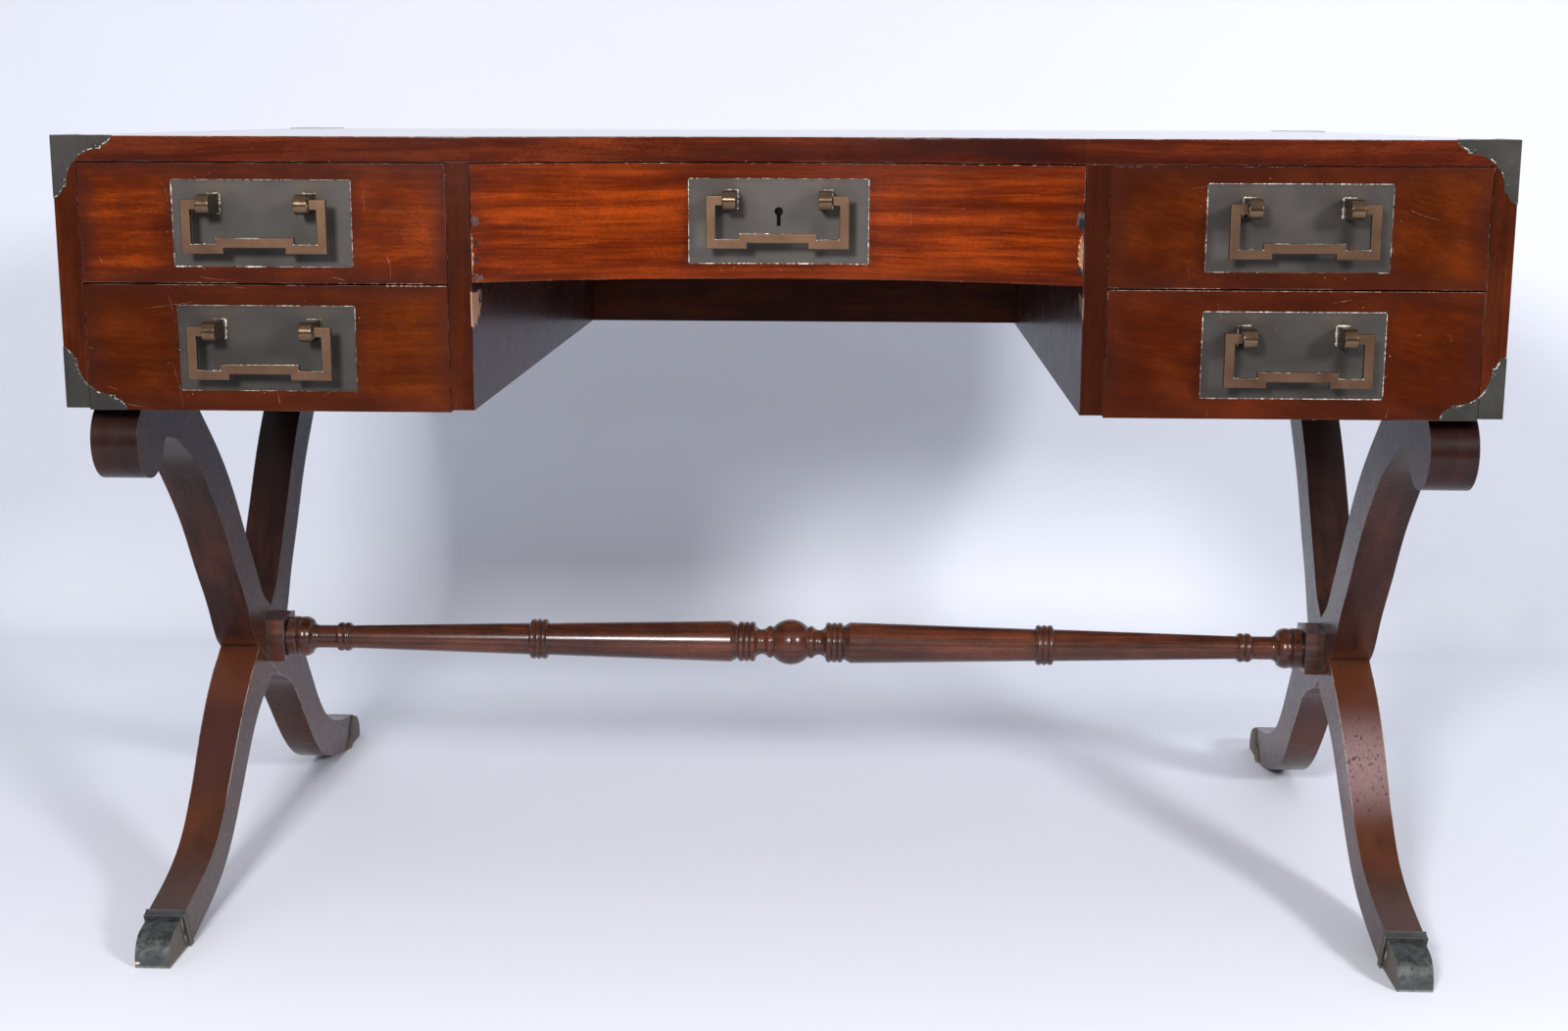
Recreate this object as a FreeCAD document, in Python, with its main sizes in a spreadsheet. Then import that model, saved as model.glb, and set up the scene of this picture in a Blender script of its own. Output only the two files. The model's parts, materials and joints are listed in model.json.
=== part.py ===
import FreeCAD, Part

# Campaign desk: a five-drawer kneehole case with a hollow (concave) centre, carried by two X-shaped
# ends of curved sabre legs that are halved over each other, and tied by a turned stretcher.
# Millimetres. X is the width, -Y the sitter's side, Z is up from the floor.

import math
import os
import re

from FreeCAD import Vector

DOC = FreeCAD.newDocument("campaign_desk")

# ---------------------------------------------------------------- driving dimensions

SIZES = (
    # case
    ("desk_width", 1220.0, "case and top, side to side"),
    ("desk_depth", 790.0, "case and top, front to back"),
    ("desk_height", 766.0, "floor to the wood of the top"),
    ("case_height", 230.0, "top and pedestals together"),
    ("top_thickness", 21.0, "desktop board"),
    ("side_thickness", 20.0, "outer sides and kneehole sides"),
    ("back_thickness", 12.0, "back panel"),
    ("bottom_thickness", 12.0, "pedestal bottoms"),
    ("divider_thickness", 10.0, "board between two pedestal drawers"),
    ("pedestal_width", 353.0, "one pedestal, outside"),
    ("recess_depth", 62.0, "how far the middle of the centre front lies behind the case front"),
    ("arris_radius", 1.2, "rounding of the top's upper edge"),
    # drawers
    ("front_thickness", 19.0, "drawer fronts"),
    ("front_gap", 0.6, "between a drawer front and the case sides"),
    ("top_gap", 1.2, "between the top and the drawer fronts"),
    ("middle_gap", 1.5, "between an upper and a lower drawer front"),
    ("upper_front_height", 100.5, "upper pedestal drawer fronts"),
    ("centre_front_height", 99.0, "centre drawer front"),
    ("front_overhang", 2.0, "how far the lower fronts hang below the case"),
    ("front_clearance", 0.3, "from a shut front's back to the carcase"),
    ("drawer_side_thickness", 10.0, "drawer sides"),
    ("drawer_back_thickness", 10.0, "drawer backs"),
    ("dovetail_depth", 13.0, "how far the sides' dovetails reach into a front"),
    ("centre_dovetail_depth", 18.0, "the same in the hollow front"),
    ("dovetail_flare", 2.0, "how far a dovetail widens on each edge"),
    ("dovetail_margin", 2.5, "from the groove and from the side's upper edge to the dovetails"),
    ("drawer_bottom_thickness", 6.0, "drawer bottoms"),
    ("behind_drawers", 78.0, "from a shut pedestal drawer to the back panel"),
    ("behind_centre_drawer", 138.0, "from the shut centre drawer to the back panel"),
    ("running_gap", 0.3, "under a drawer's sides"),
    ("headroom", 4.0, "over a drawer's sides"),
    ("groove_depth", 4.0, "groove for a drawer bottom"),
    ("groove_lift", 6.0, "from a drawer side's lower edge to the groove"),
    ("runner_width", 16.0, "centre drawer runner, sideways"),
    ("runner_height", 12.0, "centre drawer runner, upright"),
    ("runner_lift", 2.0, "from the centre front's lower edge to the runner"),
    # handles
    ("plate_width", 152.0, "inlaid handle plate on a pedestal drawer"),
    ("centre_plate_width", 155.0, "inlaid handle plate on the centre drawer"),
    ("plate_height", 72.5, "inlaid handle plates"),
    ("plate_thickness", 2.5, "inlaid handle plates"),
    ("post_spacing", 82.0, "between the two posts' middles"),
    ("post_width", 11.0, "post, sideways"),
    ("post_height", 16.6, "post, upright"),
    ("post_reach", 32.0, "post, out from the plate"),
    ("post_rounding", 0.5, "rounding of a post's side edges"),
    ("post_drop", 19.6, "from a pedestal plate's upper edge to its pivot"),
    ("centre_post_drop", 17.8, "from the centre plate's upper edge to its pivot"),
    ("stud_diameter", 6.0, "threaded stud behind a post"),
    ("stud_clearance", 0.1, "round a stud"),
    ("stud_tail", 5.0, "stud beyond the back of the front"),
    ("bail_width", 122.5, "bail, outside"),
    ("bail_drop", 40.8, "from the pivot to the bail's lower edge"),
    ("bail_bar", 8.3, "width of the bail's bar"),
    ("bail_thickness", 5.0, "thickness of the bail's bar"),
    ("bail_step", 5.0, "how far the middle of the grip is raised"),
    ("bail_low_notch", 52.0, "raised length, lower edge"),
    ("bail_high_notch", 67.0, "raised length, upper edge"),
    ("bail_rounding", 0.7, "rounding of a bail's long edges"),
    ("bail_clearance", 0.3, "between a bail's arm and its post"),
    ("pin_diameter", 4.6, "bail pins"),
    ("pin_clearance", 0.1, "round a bail pin"),
    ("pin_length", 10.0, "bail pin inside its post"),
    # lock
    ("keyhole_diameter", 7.4, "round part of the keyhole"),
    ("keyhole_slot", 3.4, "width of the keyhole's slot"),
    ("keyhole_height", 16.0, "whole keyhole"),
    ("keyhole_drop", 28.0, "from the plate's upper edge to the keyhole's round part"),
    ("lock_width", 70.0, "lock case"),
    ("lock_height", 58.0, "lock case"),
    ("lock_depth", 13.0, "lock case"),
    ("lock_wall", 2.0, "lock case wall"),
    ("lock_inset", 4.0, "how deep the lock case is let into the front"),
    ("bolt_width", 24.0, "lock bolt"),
    ("bolt_depth", 6.0, "lock bolt"),
    ("bolt_height", 26.0, "lock bolt"),
    ("bolt_throw", 8.0, "how far the bolt rises"),
    ("bolt_clearance", 0.3, "round the bolt"),
    # corner brackets
    ("bracket_leg", 52.0, "each way from the corner"),
    ("bracket_thickness", 1.6, "bracket sheet"),
    ("bracket_proud", 0.4, "how far a bracket stands out of the wood"),
    ("bracket_sweep", 40.5, "centre of the hollow sweep, from both edges"),
    ("bracket_sweep_radius", 29.4, "hollow sweep"),
    ("bracket_foot", 1.8, "from the sweep's centre to the step, along the leg"),
    ("bracket_step", 2.8, "step between the sweep and the end lobe"),
    ("bracket_lobe", 9.0, "end lobe, along the leg"),
    # X-shaped ends
    ("frame_inset", 10.0, "from the case's outer face to the legs' outer face"),
    ("leg_thickness", 41.6, "legs at and above the crossing"),
    ("toe_thickness", 33.4, "legs at the floor"),
    ("leg_width", 48.0, "upper half of a leg, across its curve"),
    ("crossing_width", 53.8, "legs where they cross"),
    ("toe_width", 42.5, "legs near the sabot, across their curve"),
    ("crossing_height", 232.4, "floor to the crossing"),
    ("crossing_slope", 35.4, "degrees from level at the crossing"),
    ("crossing_straight", 42.0, "half of the straight stretch at the crossing"),
    ("scroll_radius", 35.5, "round scroll under the case"),
    ("scroll_inset", 56.0, "from the case front to the scroll's centre"),
    ("front_toe_inset", 50.0, "from the case front to a front toe's tip"),
    ("rear_toe_inset", 4.0, "from the case back to a rear toe's tip"),
    ("shoulder_length", 104.0, "flat top of a leg, from the scroll's centre"),
    # sabots
    ("sabot_width", 32.8, "cast shoe, sideways"),
    ("sabot_band_width", 38.5, "raised band, sideways"),
    ("sabot_wall", 2.0, "shoe's side walls"),
    ("sabot_sole", 3.0, "shoe's sole and nose"),
    ("sabot_heel", 61.0, "toe tip to the band's back edge, on the floor"),
    ("sabot_band_top", 40.3, "height of the band's upper corner"),
    ("sabot_band_back", 45.5, "toe tip to the band's upper corner"),
    ("sabot_band_length", 8.5, "band, along the leg"),
    ("sabot_band_drop", 3.5, "from the band's upper corner down to its front edge"),
    ("core_tail", 2.0, "how far the wooden core runs back into its leg"),
    ("core_height", 32.0, "height of the wooden core at the band"),
    # stretcher
    ("block_side", 45.0, "square block, each way"),
    ("block_length", 19.4, "square block, along the stretcher"),
    ("tenon_diameter", 20.0, "round tenon in the crossing"),
    ("tenon_length", 26.0, "round tenon"),
    ("tenon_clearance", 0.1, "round the tenon"),
    ("ball_radius", 24.2, "ball at the stretcher's middle"),
    ("ball_length", 37.0, "ball, along the stretcher"),
    ("rod_thick", 21.8, "stretcher radius beside the ball"),
    ("rod_middle", 17.0, "stretcher radius at the outer rings"),
    ("rod_thin", 12.2, "stretcher radius at the ends"),
    ("inner_ring_place", 37.5, "start of the inner rings"),
    ("outer_ring_place", 260.0, "start of the outer rings"),
    ("bead_reach", 86.4, "from a leg's inner face to the start of the double bead"),
    ("ring_width", 6.0, "one ring of a group of three"),
    ("bead_width", 7.0, "one half of the double bead"),
    ("ring_radius", 21.3, "rings"),
    ("bead_radius", 15.4, "double bead"),
    # screws
    ("screw_diameter", 5.0, "screws that hold the case on the legs"),
    ("screw_head_diameter", 10.0, "their countersunk heads"),
    ("screw_head_height", 3.0, "their countersunk heads"),
    ("screw_length", 42.0, "their whole length"),
    ("screw_inset", 26.0, "from the legs' outer face to the screws"),
    ("screw_first", 24.0, "from the scroll's centre to the first screw"),
    ("screw_pitch", 50.0, "from the first screw to the second"),
    ("screw_clearance", 0.1, "round the screws"),
)

PLACES = (
    ("front_y", "(post_reach - desk_depth - bracket_proud) / 2", "front plane of the case"),
    ("back_y", "front_y + desk_depth", "back plane of the case"),
    ("middle_y", "front_y + desk_depth / 2", "middle of the case and of the crossings"),
    ("half_width", "desk_width / 2", "outer face of the case"),
    ("knee_half", "half_width - pedestal_width", "kneehole face of the kneehole sides"),
    ("frame_face", "half_width - frame_inset", "outer face of the legs"),
    ("bead_place", "frame_face - leg_thickness - bead_reach", "start of the double bead"),
    ("case_z", "desk_height - case_height", "underside of the case"),
    ("top_z", "desk_height - top_thickness", "underside of the top"),
    ("front_top_z", "top_z - top_gap", "upper edge of the upper and centre fronts"),
    ("upper_front_z", "front_top_z - upper_front_height", "lower edge of the upper fronts"),
    ("lower_top_z", "upper_front_z - middle_gap", "upper edge of the lower fronts"),
    ("lower_front_z", "case_z - front_overhang", "lower edge of the lower fronts"),
    ("centre_front_z", "front_top_z - centre_front_height", "lower edge of the centre front"),
    ("divider_z", "upper_front_z - middle_gap / 2 - divider_thickness / 2", "divider's underside"),
    ("carcase_y", "front_y + front_thickness + front_clearance", "front edge of dividers and bottoms"),
    ("inside_back_y", "back_y - back_thickness", "inner face of the back panel"),
    ("drawer_end_y", "inside_back_y - behind_drawers", "back end of the pedestal drawers"),
    ("centre_end_y", "inside_back_y - behind_centre_drawer", "back end of the centre drawer"),
    ("recess_radius", "(knee_half ^ 2 + recess_depth ^ 2) / (2 * recess_depth)", "centre front's curve"),
    ("recess_y", "front_y + recess_depth - recess_radius", "centre of that curve"),
    ("inlay", "bracket_thickness - bracket_proud", "how deep a bracket is let in"),
    ("runner_z", "centre_front_z + runner_lift", "underside of the centre runners"),
    ("leg_rise", "case_z - crossing_height", "crossing to the case"),
    ("leg_span", "desk_depth / 2 - scroll_inset", "crossing to the scroll's centre, level"),
    ("front_foot_span", "desk_depth / 2 - front_toe_inset", "crossing to a front toe's tip, level"),
    ("rear_foot_span", "desk_depth / 2 - rear_toe_inset", "crossing to a rear toe's tip, level"),
)

SIDES = (("left", -1), ("right", 1))
ENDS = (("front", -1), ("rear", 1))

# A leg's centre line as shares of its rise and span above the crossing, and of its height and span below.
LEG_ABOVE = ((0.171, 0.188), (0.280, 0.369), (0.389, 0.553), (0.496, 0.692), (0.617, 0.817))
LEG_BELOW = ((0.183, 0.181), (0.307, 0.357), (0.423, 0.577), (0.570, 0.777), (0.736, 0.873))


# A bracket's end lobe bulges at these shares of its length and height; its sweep passes this angle.
LOBE_ALONG = 0.25
LOBE_UP = 0.55
SWEEP_ANGLE = math.radians(67)

# The crotch between scroll and leg, in scroll radii before and below the flat top's end over the scroll.
CROTCH_ANGLE = math.radians(17)
SCROLL_MIDDLE = math.radians(68)
CROTCH_TOP = (1.11, 1.17)
CROTCH_END = (1.36, 1.19)
SHOULDER = ((2.40, 1.60), (1.83, 1.29))
SHOULDER_DIRECTION = (1.0, 0.12)
TAPER_START = 0.66

# A shoe's nose, from the floor over its middle to its top, and the same for the wooden core inside.
SABOT_NOSE = ((0.0, 4.0), (3.4, 20.0), (15.0, 30.0))
CORE_NOSE = ((0.0, 3.0), (3.4, 16.0), (13.5, 24.0))
SPARE = 10.0

# Points closer than this are the same place.
TOUCH = 0.001

# Dovetails in each drawer side, and the share of their pitch that a tail takes at its root.
TAILS = 3
TAIL_SHARE = 0.62

# Turned details of the stretcher: how long, and how far over or under the part they stand beside.
RINGS = 3
BALL_BEAD = (6.4, 1.6)
BALL_COVE = (5.5, 2.2, 2.5)
GROOVE = 2.0
INNER_CHAMFER = (1.0, 8.0, 4.0)
BEAD_GROOVE = 1.6
FLARE = ((34.0, 0.0), (28.0, 1.6), (25.0, 6.2))
BLOCK_TORUS = (17.5, 10.5)
BLOCK_NECK = (2.0, 4.0)


class Sizes:
    """The sheets' values as attributes, for the outlines that are worked out in code."""


def fill_sheet(name, rows, formula):
    sheet = DOC.addObject("Spreadsheet::Sheet", name)
    for row, (alias, value, note) in enumerate(rows, start=1):
        sheet.set(f"A{row}", alias)
        sheet.set(f"B{row}", formula(value))
        sheet.setAlias(f"B{row}", alias)
        sheet.set(f"C{row}", note)
    return sheet


def linked(text):
    """The same formula with each size written as a reference to its sheet."""
    names = {alias: "sizes" for alias, _, _ in SIZES}
    names.update({alias: "places" for alias, _, _ in PLACES})
    return re.sub(r"[a-z_]+[a-z]", lambda m: f"{names[m[0]]}.{m[0]}" if m[0] in names else m[0], text)


def placed_formula(text):
    names = [alias for alias, _, _ in SIZES]
    return "=" + re.sub(r"[a-z_]+[a-z]", lambda m: f"sizes.{m[0]}" if m[0] in names else m[0], text)


SIZE_SHEET = fill_sheet("sizes", SIZES, str)
DOC.recompute()
PLACE_SHEET = fill_sheet("places", PLACES, placed_formula)
DOC.recompute()

s = Sizes()
for alias, _, _ in SIZES:
    setattr(s, alias, float(SIZE_SHEET.get(alias)))
for alias, _, _ in PLACES:
    setattr(s, alias, float(PLACE_SHEET.get(alias)))

NODES = []
CUTS = []


# ---------------------------------------------------------------- helpers

def bind(item, **formulas):
    """Bind properties to the sheets; a double underscore in a key stands for a dot."""
    for key, text in formulas.items():
        item.setExpression(key.replace("__", "."), linked(text))
    return item


def node(item, label):
    """Give a finished sub-part its name and put it on the list of files to write."""
    item.Label = label
    NODES.append(item)
    return item


def board(name, corner, size):
    """A straight board from its lowest corner and its size along X, Y and Z."""
    box = DOC.addObject("Part::Box", name)
    bind(box, Length=size[0], Width=size[1], Height=size[2])
    x, y, z = corner
    return bind(box, Placement__Base__x=x, Placement__Base__y=y, Placement__Base__z=z)


def sketch(body, plane, offset):
    """A sketch on one of the body's own planes, moved by a formula along that plane's axis."""
    made = body.newObject("Sketcher::SketchObject", body.Name + "_sketch")
    support = [item for item in body.Origin.OriginFeatures if item.Role == plane][0]
    made.AttachmentSupport = [(support, "")]
    made.MapMode = "FlatFace"
    sign = "-1" if plane == "XZ_Plane" else "1"
    return bind(made, AttachmentOffset__Base__z=f"{sign} * ({offset})")


def pad(body, profile, length, backwards=False):
    """Extrude along +X, +Y or +Z, or the other way."""
    made = body.newObject("PartDesign::Pad", body.Name + "_pad")
    made.Profile = profile
    made.Reversed = (profile_plane(profile) == "XZ_Plane") != backwards
    return bind(made, Length=length)


def pocket(body, profile, length, backwards=False):
    """Cut along +X, +Y or +Z, or the other way, and remember it so that its volume is checked."""
    made = body.newObject("PartDesign::Pocket", body.Name + "_pocket")
    made.Profile = profile
    made.Reversed = (profile_plane(profile) != "XZ_Plane") != backwards
    CUTS.append(made)
    return bind(made, Length=length)


def rounded(body, base, radius, chosen):
    """Round the edges of a body that chosen() picks by their boxes."""
    DOC.recompute()
    edges = [f"Edge{number}" for number, edge in enumerate(base.Shape.Edges, start=1)
             if chosen(edge.BoundBox)]
    made = body.newObject("PartDesign::Fillet", body.Name + "_fillet")
    made.Base = (base, edges)
    CUTS.append(made)
    return bind(made, Radius=radius)


def profile_plane(profile):
    return profile.AttachmentSupport[0][0].Role


def new_body(name):
    return DOC.addObject("PartDesign::Body", name)


def combine(kind, name, **links):
    made = DOC.addObject(kind, name)
    for key, value in links.items():
        setattr(made, key, value)
    return made


def cut(name, base, tool):
    made = combine("Part::Cut", name, Base=base, Tool=tool)
    CUTS.append(made)
    return made


def group(name, items):
    return combine("Part::Compound", name, Links=items)


def line(profile, start, end):
    profile.addGeometry(Part.LineSegment(Vector(*start), Vector(*end)), False)


def arc(profile, start, through, end):
    profile.addGeometry(Part.Arc(Vector(*start), Vector(*through), Vector(*end)), False)


def circle(profile, centre, radius):
    profile.addGeometry(Part.Circle(Vector(*centre), Vector(0, 0, 1), radius), False)


def polygon(profile, points):
    for start, end in zip(points, points[1:] + points[:1]):
        line(profile, start, end)


def rectangle(profile, low, high):
    polygon(profile, [low, (high[0], low[1]), high, (low[0], high[1])])


def fair_curve(points, first=None, last=None):
    """A smooth curve through the points, with its end directions given or taken from its end points."""
    spots = [Vector(x, y, 0) for x, y in points]
    first = Vector(*first, 0) if first else spots[1] - spots[0]
    last = Vector(*last, 0) if last else spots[-1] - spots[-2]
    curve = Part.BSplineCurve()
    curve.interpolate(Points=spots, InitialTangent=first, FinalTangent=last)
    return curve


def recess_line(x, behind=0.0):
    """Y of the hollow front at x, or of the parallel curve that lies behind it."""
    return s.recess_y + math.sqrt((s.recess_radius + behind) ** 2 - x ** 2)


def recess_band(profile, half, near, far):
    """A strip of the hollow front between two parallel curves, cut square at its ends."""
    front = [(x, recess_line(x, near)) for x in (-half, 0, half)]
    back = [(x, recess_line(x, far)) for x in (half, 0, -half)]
    arc(profile, *front)
    line(profile, front[2], back[0])
    arc(profile, *back)
    line(profile, back[2], front[0])


# ---------------------------------------------------------------- corner brackets

def bracket_half():
    """The shaped edge of a bracket from a leg's end to the corner's diagonal."""
    far = s.bracket_sweep
    radius = s.bracket_sweep_radius
    foot = far + s.bracket_foot
    foot_height = far - math.sqrt(radius ** 2 - (foot - far) ** 2)
    diagonal = far - radius * math.cos(math.pi / 4)
    lobe_height = foot_height - s.bracket_step
    lobe_start = s.bracket_leg - s.bracket_lobe
    bulge = (s.bracket_leg - LOBE_ALONG * s.bracket_lobe, LOBE_UP * lobe_height)
    turn = (far - radius * math.cos(SWEEP_ANGLE), far - radius * math.sin(SWEEP_ANGLE))
    return {
        "tip": (s.bracket_leg, 0.0),
        "bulge": bulge,
        "lobe": (lobe_start, lobe_height),
        "step": (foot, foot_height),
        "turn": turn,
        "diagonal": (diagonal, diagonal),
    }


def bracket_outline(profile, place):
    """One face of a bracket; place maps sizes along its two legs to the sketch."""
    half = bracket_half()
    swap = {key: (y, x) for key, (x, y) in half.items()}
    proud = -s.bracket_proud
    corner = place((proud, proud))
    for points, flip in ((half, False), (swap, True)):
        end = (s.bracket_leg, proud)
        end = place(end[::-1] if flip else end)
        line(profile, corner, end)
        line(profile, end, place(points["tip"]))
        arc(profile, place(points["tip"]), place(points["bulge"]), place(points["lobe"]))
        line(profile, place(points["lobe"]), place(points["step"]))
        arc(profile, place(points["step"]), place(points["turn"]), place(points["diagonal"]))


def bracket(name, side, end, level):
    """A corner bracket: a front or back face, a side face and, at the top, an upper face."""
    corner_x = side * s.half_width
    corner_y = s.front_y if end < 0 else s.back_y
    corner_z = s.desk_height if level > 0 else s.case_z
    plane_x = "half_width" if side > 0 else "-half_width"
    plane_y = "front_y" if end < 0 else "back_y"
    sheet = "bracket_thickness"
    inner_x = f"{plane_x} - inlay" if side > 0 else f"{plane_x} - bracket_proud"
    inner_y = f"{plane_y} - bracket_proud" if end < 0 else f"{plane_y} - inlay"
    made = new_body(name)
    facing = sketch(made, "XZ_Plane", inner_y)
    bracket_outline(facing, lambda p: (corner_x - side * p[0], corner_z - level * p[1]))
    pad(made, facing, sheet)
    flank = sketch(made, "YZ_Plane", inner_x)
    bracket_outline(flank, lambda p: (corner_y - end * p[0], corner_z - level * p[1]))
    pad(made, flank, sheet)
    if level > 0:
        lid = sketch(made, "XY_Plane", "desk_height - inlay")
        bracket_outline(lid, lambda p: (corner_x - side * p[0], corner_y - end * p[1]))
        pad(made, lid, sheet)
    return made


def make_brackets():
    """Eight brackets; a lower front one is sawn through where the stile meets the drawer front."""
    top = [bracket(f"top_{end}_{side}", a, b, 1) for side, a in SIDES for end, b in ENDS]
    rear = [bracket(f"low_rear_{side}", a, 1, -1) for side, a in SIDES]
    front = {side: bracket(f"low_front_{side}", a, -1, -1) for side, a in SIDES}
    stile = []
    for side, a in SIDES:
        edge = "half_width - side_thickness"
        start = edge if a > 0 else "-half_width - side_thickness"
        keep = board(f"stile_zone_{side}", (start, "front_y - side_thickness", "case_z - side_thickness"),
                     ("2 * side_thickness", "2 * bracket_leg", "2 * bracket_leg"))
        stile.append(combine("Part::Common", f"stile_bracket_{side}", Base=front[side], Tool=keep))
    node(group("top_brackets", top), "top_brackets")
    node(group("bottom_brackets", stile + rear), "bottom_brackets")
    return top, stile + rear


# ---------------------------------------------------------------- case

def make_case(top_brackets, low_brackets):
    """Top, four upright sides, back, bottoms, dividers and the centre drawer's runners."""
    brackets = group("bracket_seats", top_brackets + low_brackets)

    top = new_body("top_board")
    outline = sketch(top, "XY_Plane", "top_z")
    left, right = -s.half_width, s.half_width
    line(outline, (left, s.front_y), (-s.knee_half, s.front_y))
    arc(outline, (-s.knee_half, s.front_y), (0, recess_line(0)), (s.knee_half, s.front_y))
    line(outline, (s.knee_half, s.front_y), (right, s.front_y))
    line(outline, (right, s.front_y), (right, s.back_y))
    line(outline, (right, s.back_y), (left, s.back_y))
    line(outline, (left, s.back_y), (left, s.front_y))
    rounded(top, pad(top, outline, "top_thickness"), "arris_radius",
            lambda box: box.ZMin > s.desk_height - TOUCH)
    mortise = sketch(top, "XY_Plane", "top_z")
    half = s.bolt_width / 2 + s.bolt_clearance
    near = lock_y() + s.lock_wall
    rectangle(mortise, (-half, near), (half, near + s.bolt_depth + 2 * s.bolt_clearance))
    pocket(top, mortise, "bolt_throw + bolt_clearance")
    node(cut("desktop", top, brackets), "desktop")

    upright = ("side_thickness", "desk_depth", "top_z - case_z")
    left_side = board("left_board", ("-half_width", "front_y", "case_z"), upright)
    right_side = board("right_board", ("half_width - side_thickness", "front_y", "case_z"), upright)
    node(cut("outer_side_left", left_side, brackets), "outer_side_left")
    node(cut("outer_side_right", right_side, brackets), "outer_side_right")

    inner = ("side_thickness", "desk_depth - back_thickness", "top_z - case_z")
    node(board("kneehole_side_left", ("-knee_half - side_thickness", "front_y", "case_z"), inner),
         "kneehole_side_left")
    node(board("kneehole_side_right", ("knee_half", "front_y", "case_z"), inner), "kneehole_side_right")

    back = board("back_board", ("side_thickness - half_width", "inside_back_y", "case_z"),
                 ("desk_width - 2 * side_thickness", "back_thickness", "top_z - case_z"))
    node(cut("back_panel", back, brackets), "back_panel")

    screws = make_screws("screw_holes", "screw_diameter / 2 + screw_clearance",
                         "screw_head_diameter / 2 + screw_clearance")
    level = ("pedestal_width - 2 * side_thickness", "inside_back_y - carcase_y")
    bottoms = []
    dividers = []
    for side, start in (("left", "side_thickness - half_width"), ("right", "knee_half + side_thickness")):
        blank = board(f"bottom_board_{side}", (start, "carcase_y", "case_z"), (*level, "bottom_thickness"))
        bottoms.append(cut(f"pedestal_bottom_{side}", blank, screws))
        dividers.append(board(f"divider_{side}", (start, "carcase_y", "divider_z"),
                              (*level, "divider_thickness")))
    node(group("pedestal_bottoms", bottoms), "pedestal_bottoms")
    node(group("drawer_dividers", dividers), "drawer_dividers")

    runner_size = ("runner_width", "inside_back_y - carcase_y - runner_width", "runner_height")
    runners = [board(f"runner_{side}", (start, "carcase_y + runner_width", "runner_z"), runner_size)
               for side, start in (("left", "-knee_half"), ("right", "knee_half - runner_width"))]
    node(group("centre_runners", runners), "centre_runners")


# ---------------------------------------------------------------- X-shaped ends

def offset_points(curve, stations, widths, side):
    """Points beside a centre line, half a width away on one side."""
    found = []
    for (x, y), width in zip(stations, widths):
        along = curve.tangent(curve.parameter(Vector(x, y, 0)))[0]
        found.append((x - side * along.y * width / 2, y + side * along.x * width / 2))
    return found


def leg_lines(foot_span):
    """The slope of a leg's centre line at the crossing, and its stations above and below."""
    slope = math.radians(s.crossing_slope)
    along = (math.cos(slope), math.sin(slope))
    start = tuple(s.crossing_straight * part for part in along)
    above = [start] + [(u * s.leg_span, v * s.leg_rise) for u, v in LEG_ABOVE]
    below = [(-start[0], -start[1])]
    below += [(-u * foot_span, -v * s.crossing_height) for u, v in LEG_BELOW]
    return along, above, below


def before_scroll(shares):
    """A point given in scroll radii before and below the end of the leg's flat top."""
    return s.leg_span - shares[0] * s.scroll_radius, s.leg_rise - shares[1] * s.scroll_radius


def leg_outline(profile, place, foot_span):
    """A leg seen from the side, with the crossing at (0, 0), its scroll at +x and its toe at -x."""
    along, above, below = leg_lines(foot_span)
    back = (-along[0], -along[1])
    upper = fair_curve(above, first=along)
    lower = fair_curve(below, first=back)
    upper_widths = [s.crossing_width] + [s.leg_width] * len(LEG_ABOVE)
    share = (s.crossing_width - s.toe_width) / len(LEG_BELOW)
    lower_widths = [s.crossing_width - share * count for count in range(len(LEG_BELOW) + 1)]
    over_top = offset_points(upper, above, upper_widths, 1)
    under_top = offset_points(upper, above, upper_widths, -1)
    over_foot = offset_points(lower, below, lower_widths, -1)
    under_foot = offset_points(lower, below, lower_widths, 1)
    over_foot.append((s.sabot_band_back - foot_span, s.sabot_band_top - s.crossing_height))
    under_foot.append((s.sabot_heel - foot_span, -s.crossing_height))

    radius = s.scroll_radius
    scroll = (s.leg_span, s.leg_rise - radius)
    crotch = (scroll[0] - radius * math.cos(CROTCH_ANGLE), scroll[1] - radius * math.sin(CROTCH_ANGLE))
    round_end = (scroll[0] + radius * math.sin(SCROLL_MIDDLE), scroll[1] - radius * math.cos(SCROLL_MIDDLE))
    crotch_end = before_scroll(CROTCH_END)
    over_top.append((s.leg_span - s.shoulder_length, s.leg_rise))
    under_top += [before_scroll(shares) for shares in SHOULDER] + [crotch_end]

    def curve(points, first=None, last=None):
        spots = [place(p) for p in points]
        ends = [place(v) if v else None for v in (first, last)]
        origin = place((0, 0))
        ends = [(v[0] - origin[0], v[1] - origin[1]) if v else None for v in ends]
        profile.addGeometry(fair_curve(spots, *ends), False)

    curve(over_top, first=along)
    curve(over_foot, first=back)
    curve(under_top, first=along, last=SHOULDER_DIRECTION)
    curve(under_foot, first=back)
    line(profile, place(over_top[0]), place(over_foot[0]))
    line(profile, place(under_top[0]), place(under_foot[0]))
    line(profile, place(over_foot[-1]), place(under_foot[-1]))
    line(profile, place(over_top[-1]), place((scroll[0], s.leg_rise)))
    arc(profile, place((scroll[0], s.leg_rise)), place(round_end), place(crotch))
    arc(profile, place(crotch), place(before_scroll(CROTCH_TOP)), place(crotch_end))


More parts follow.
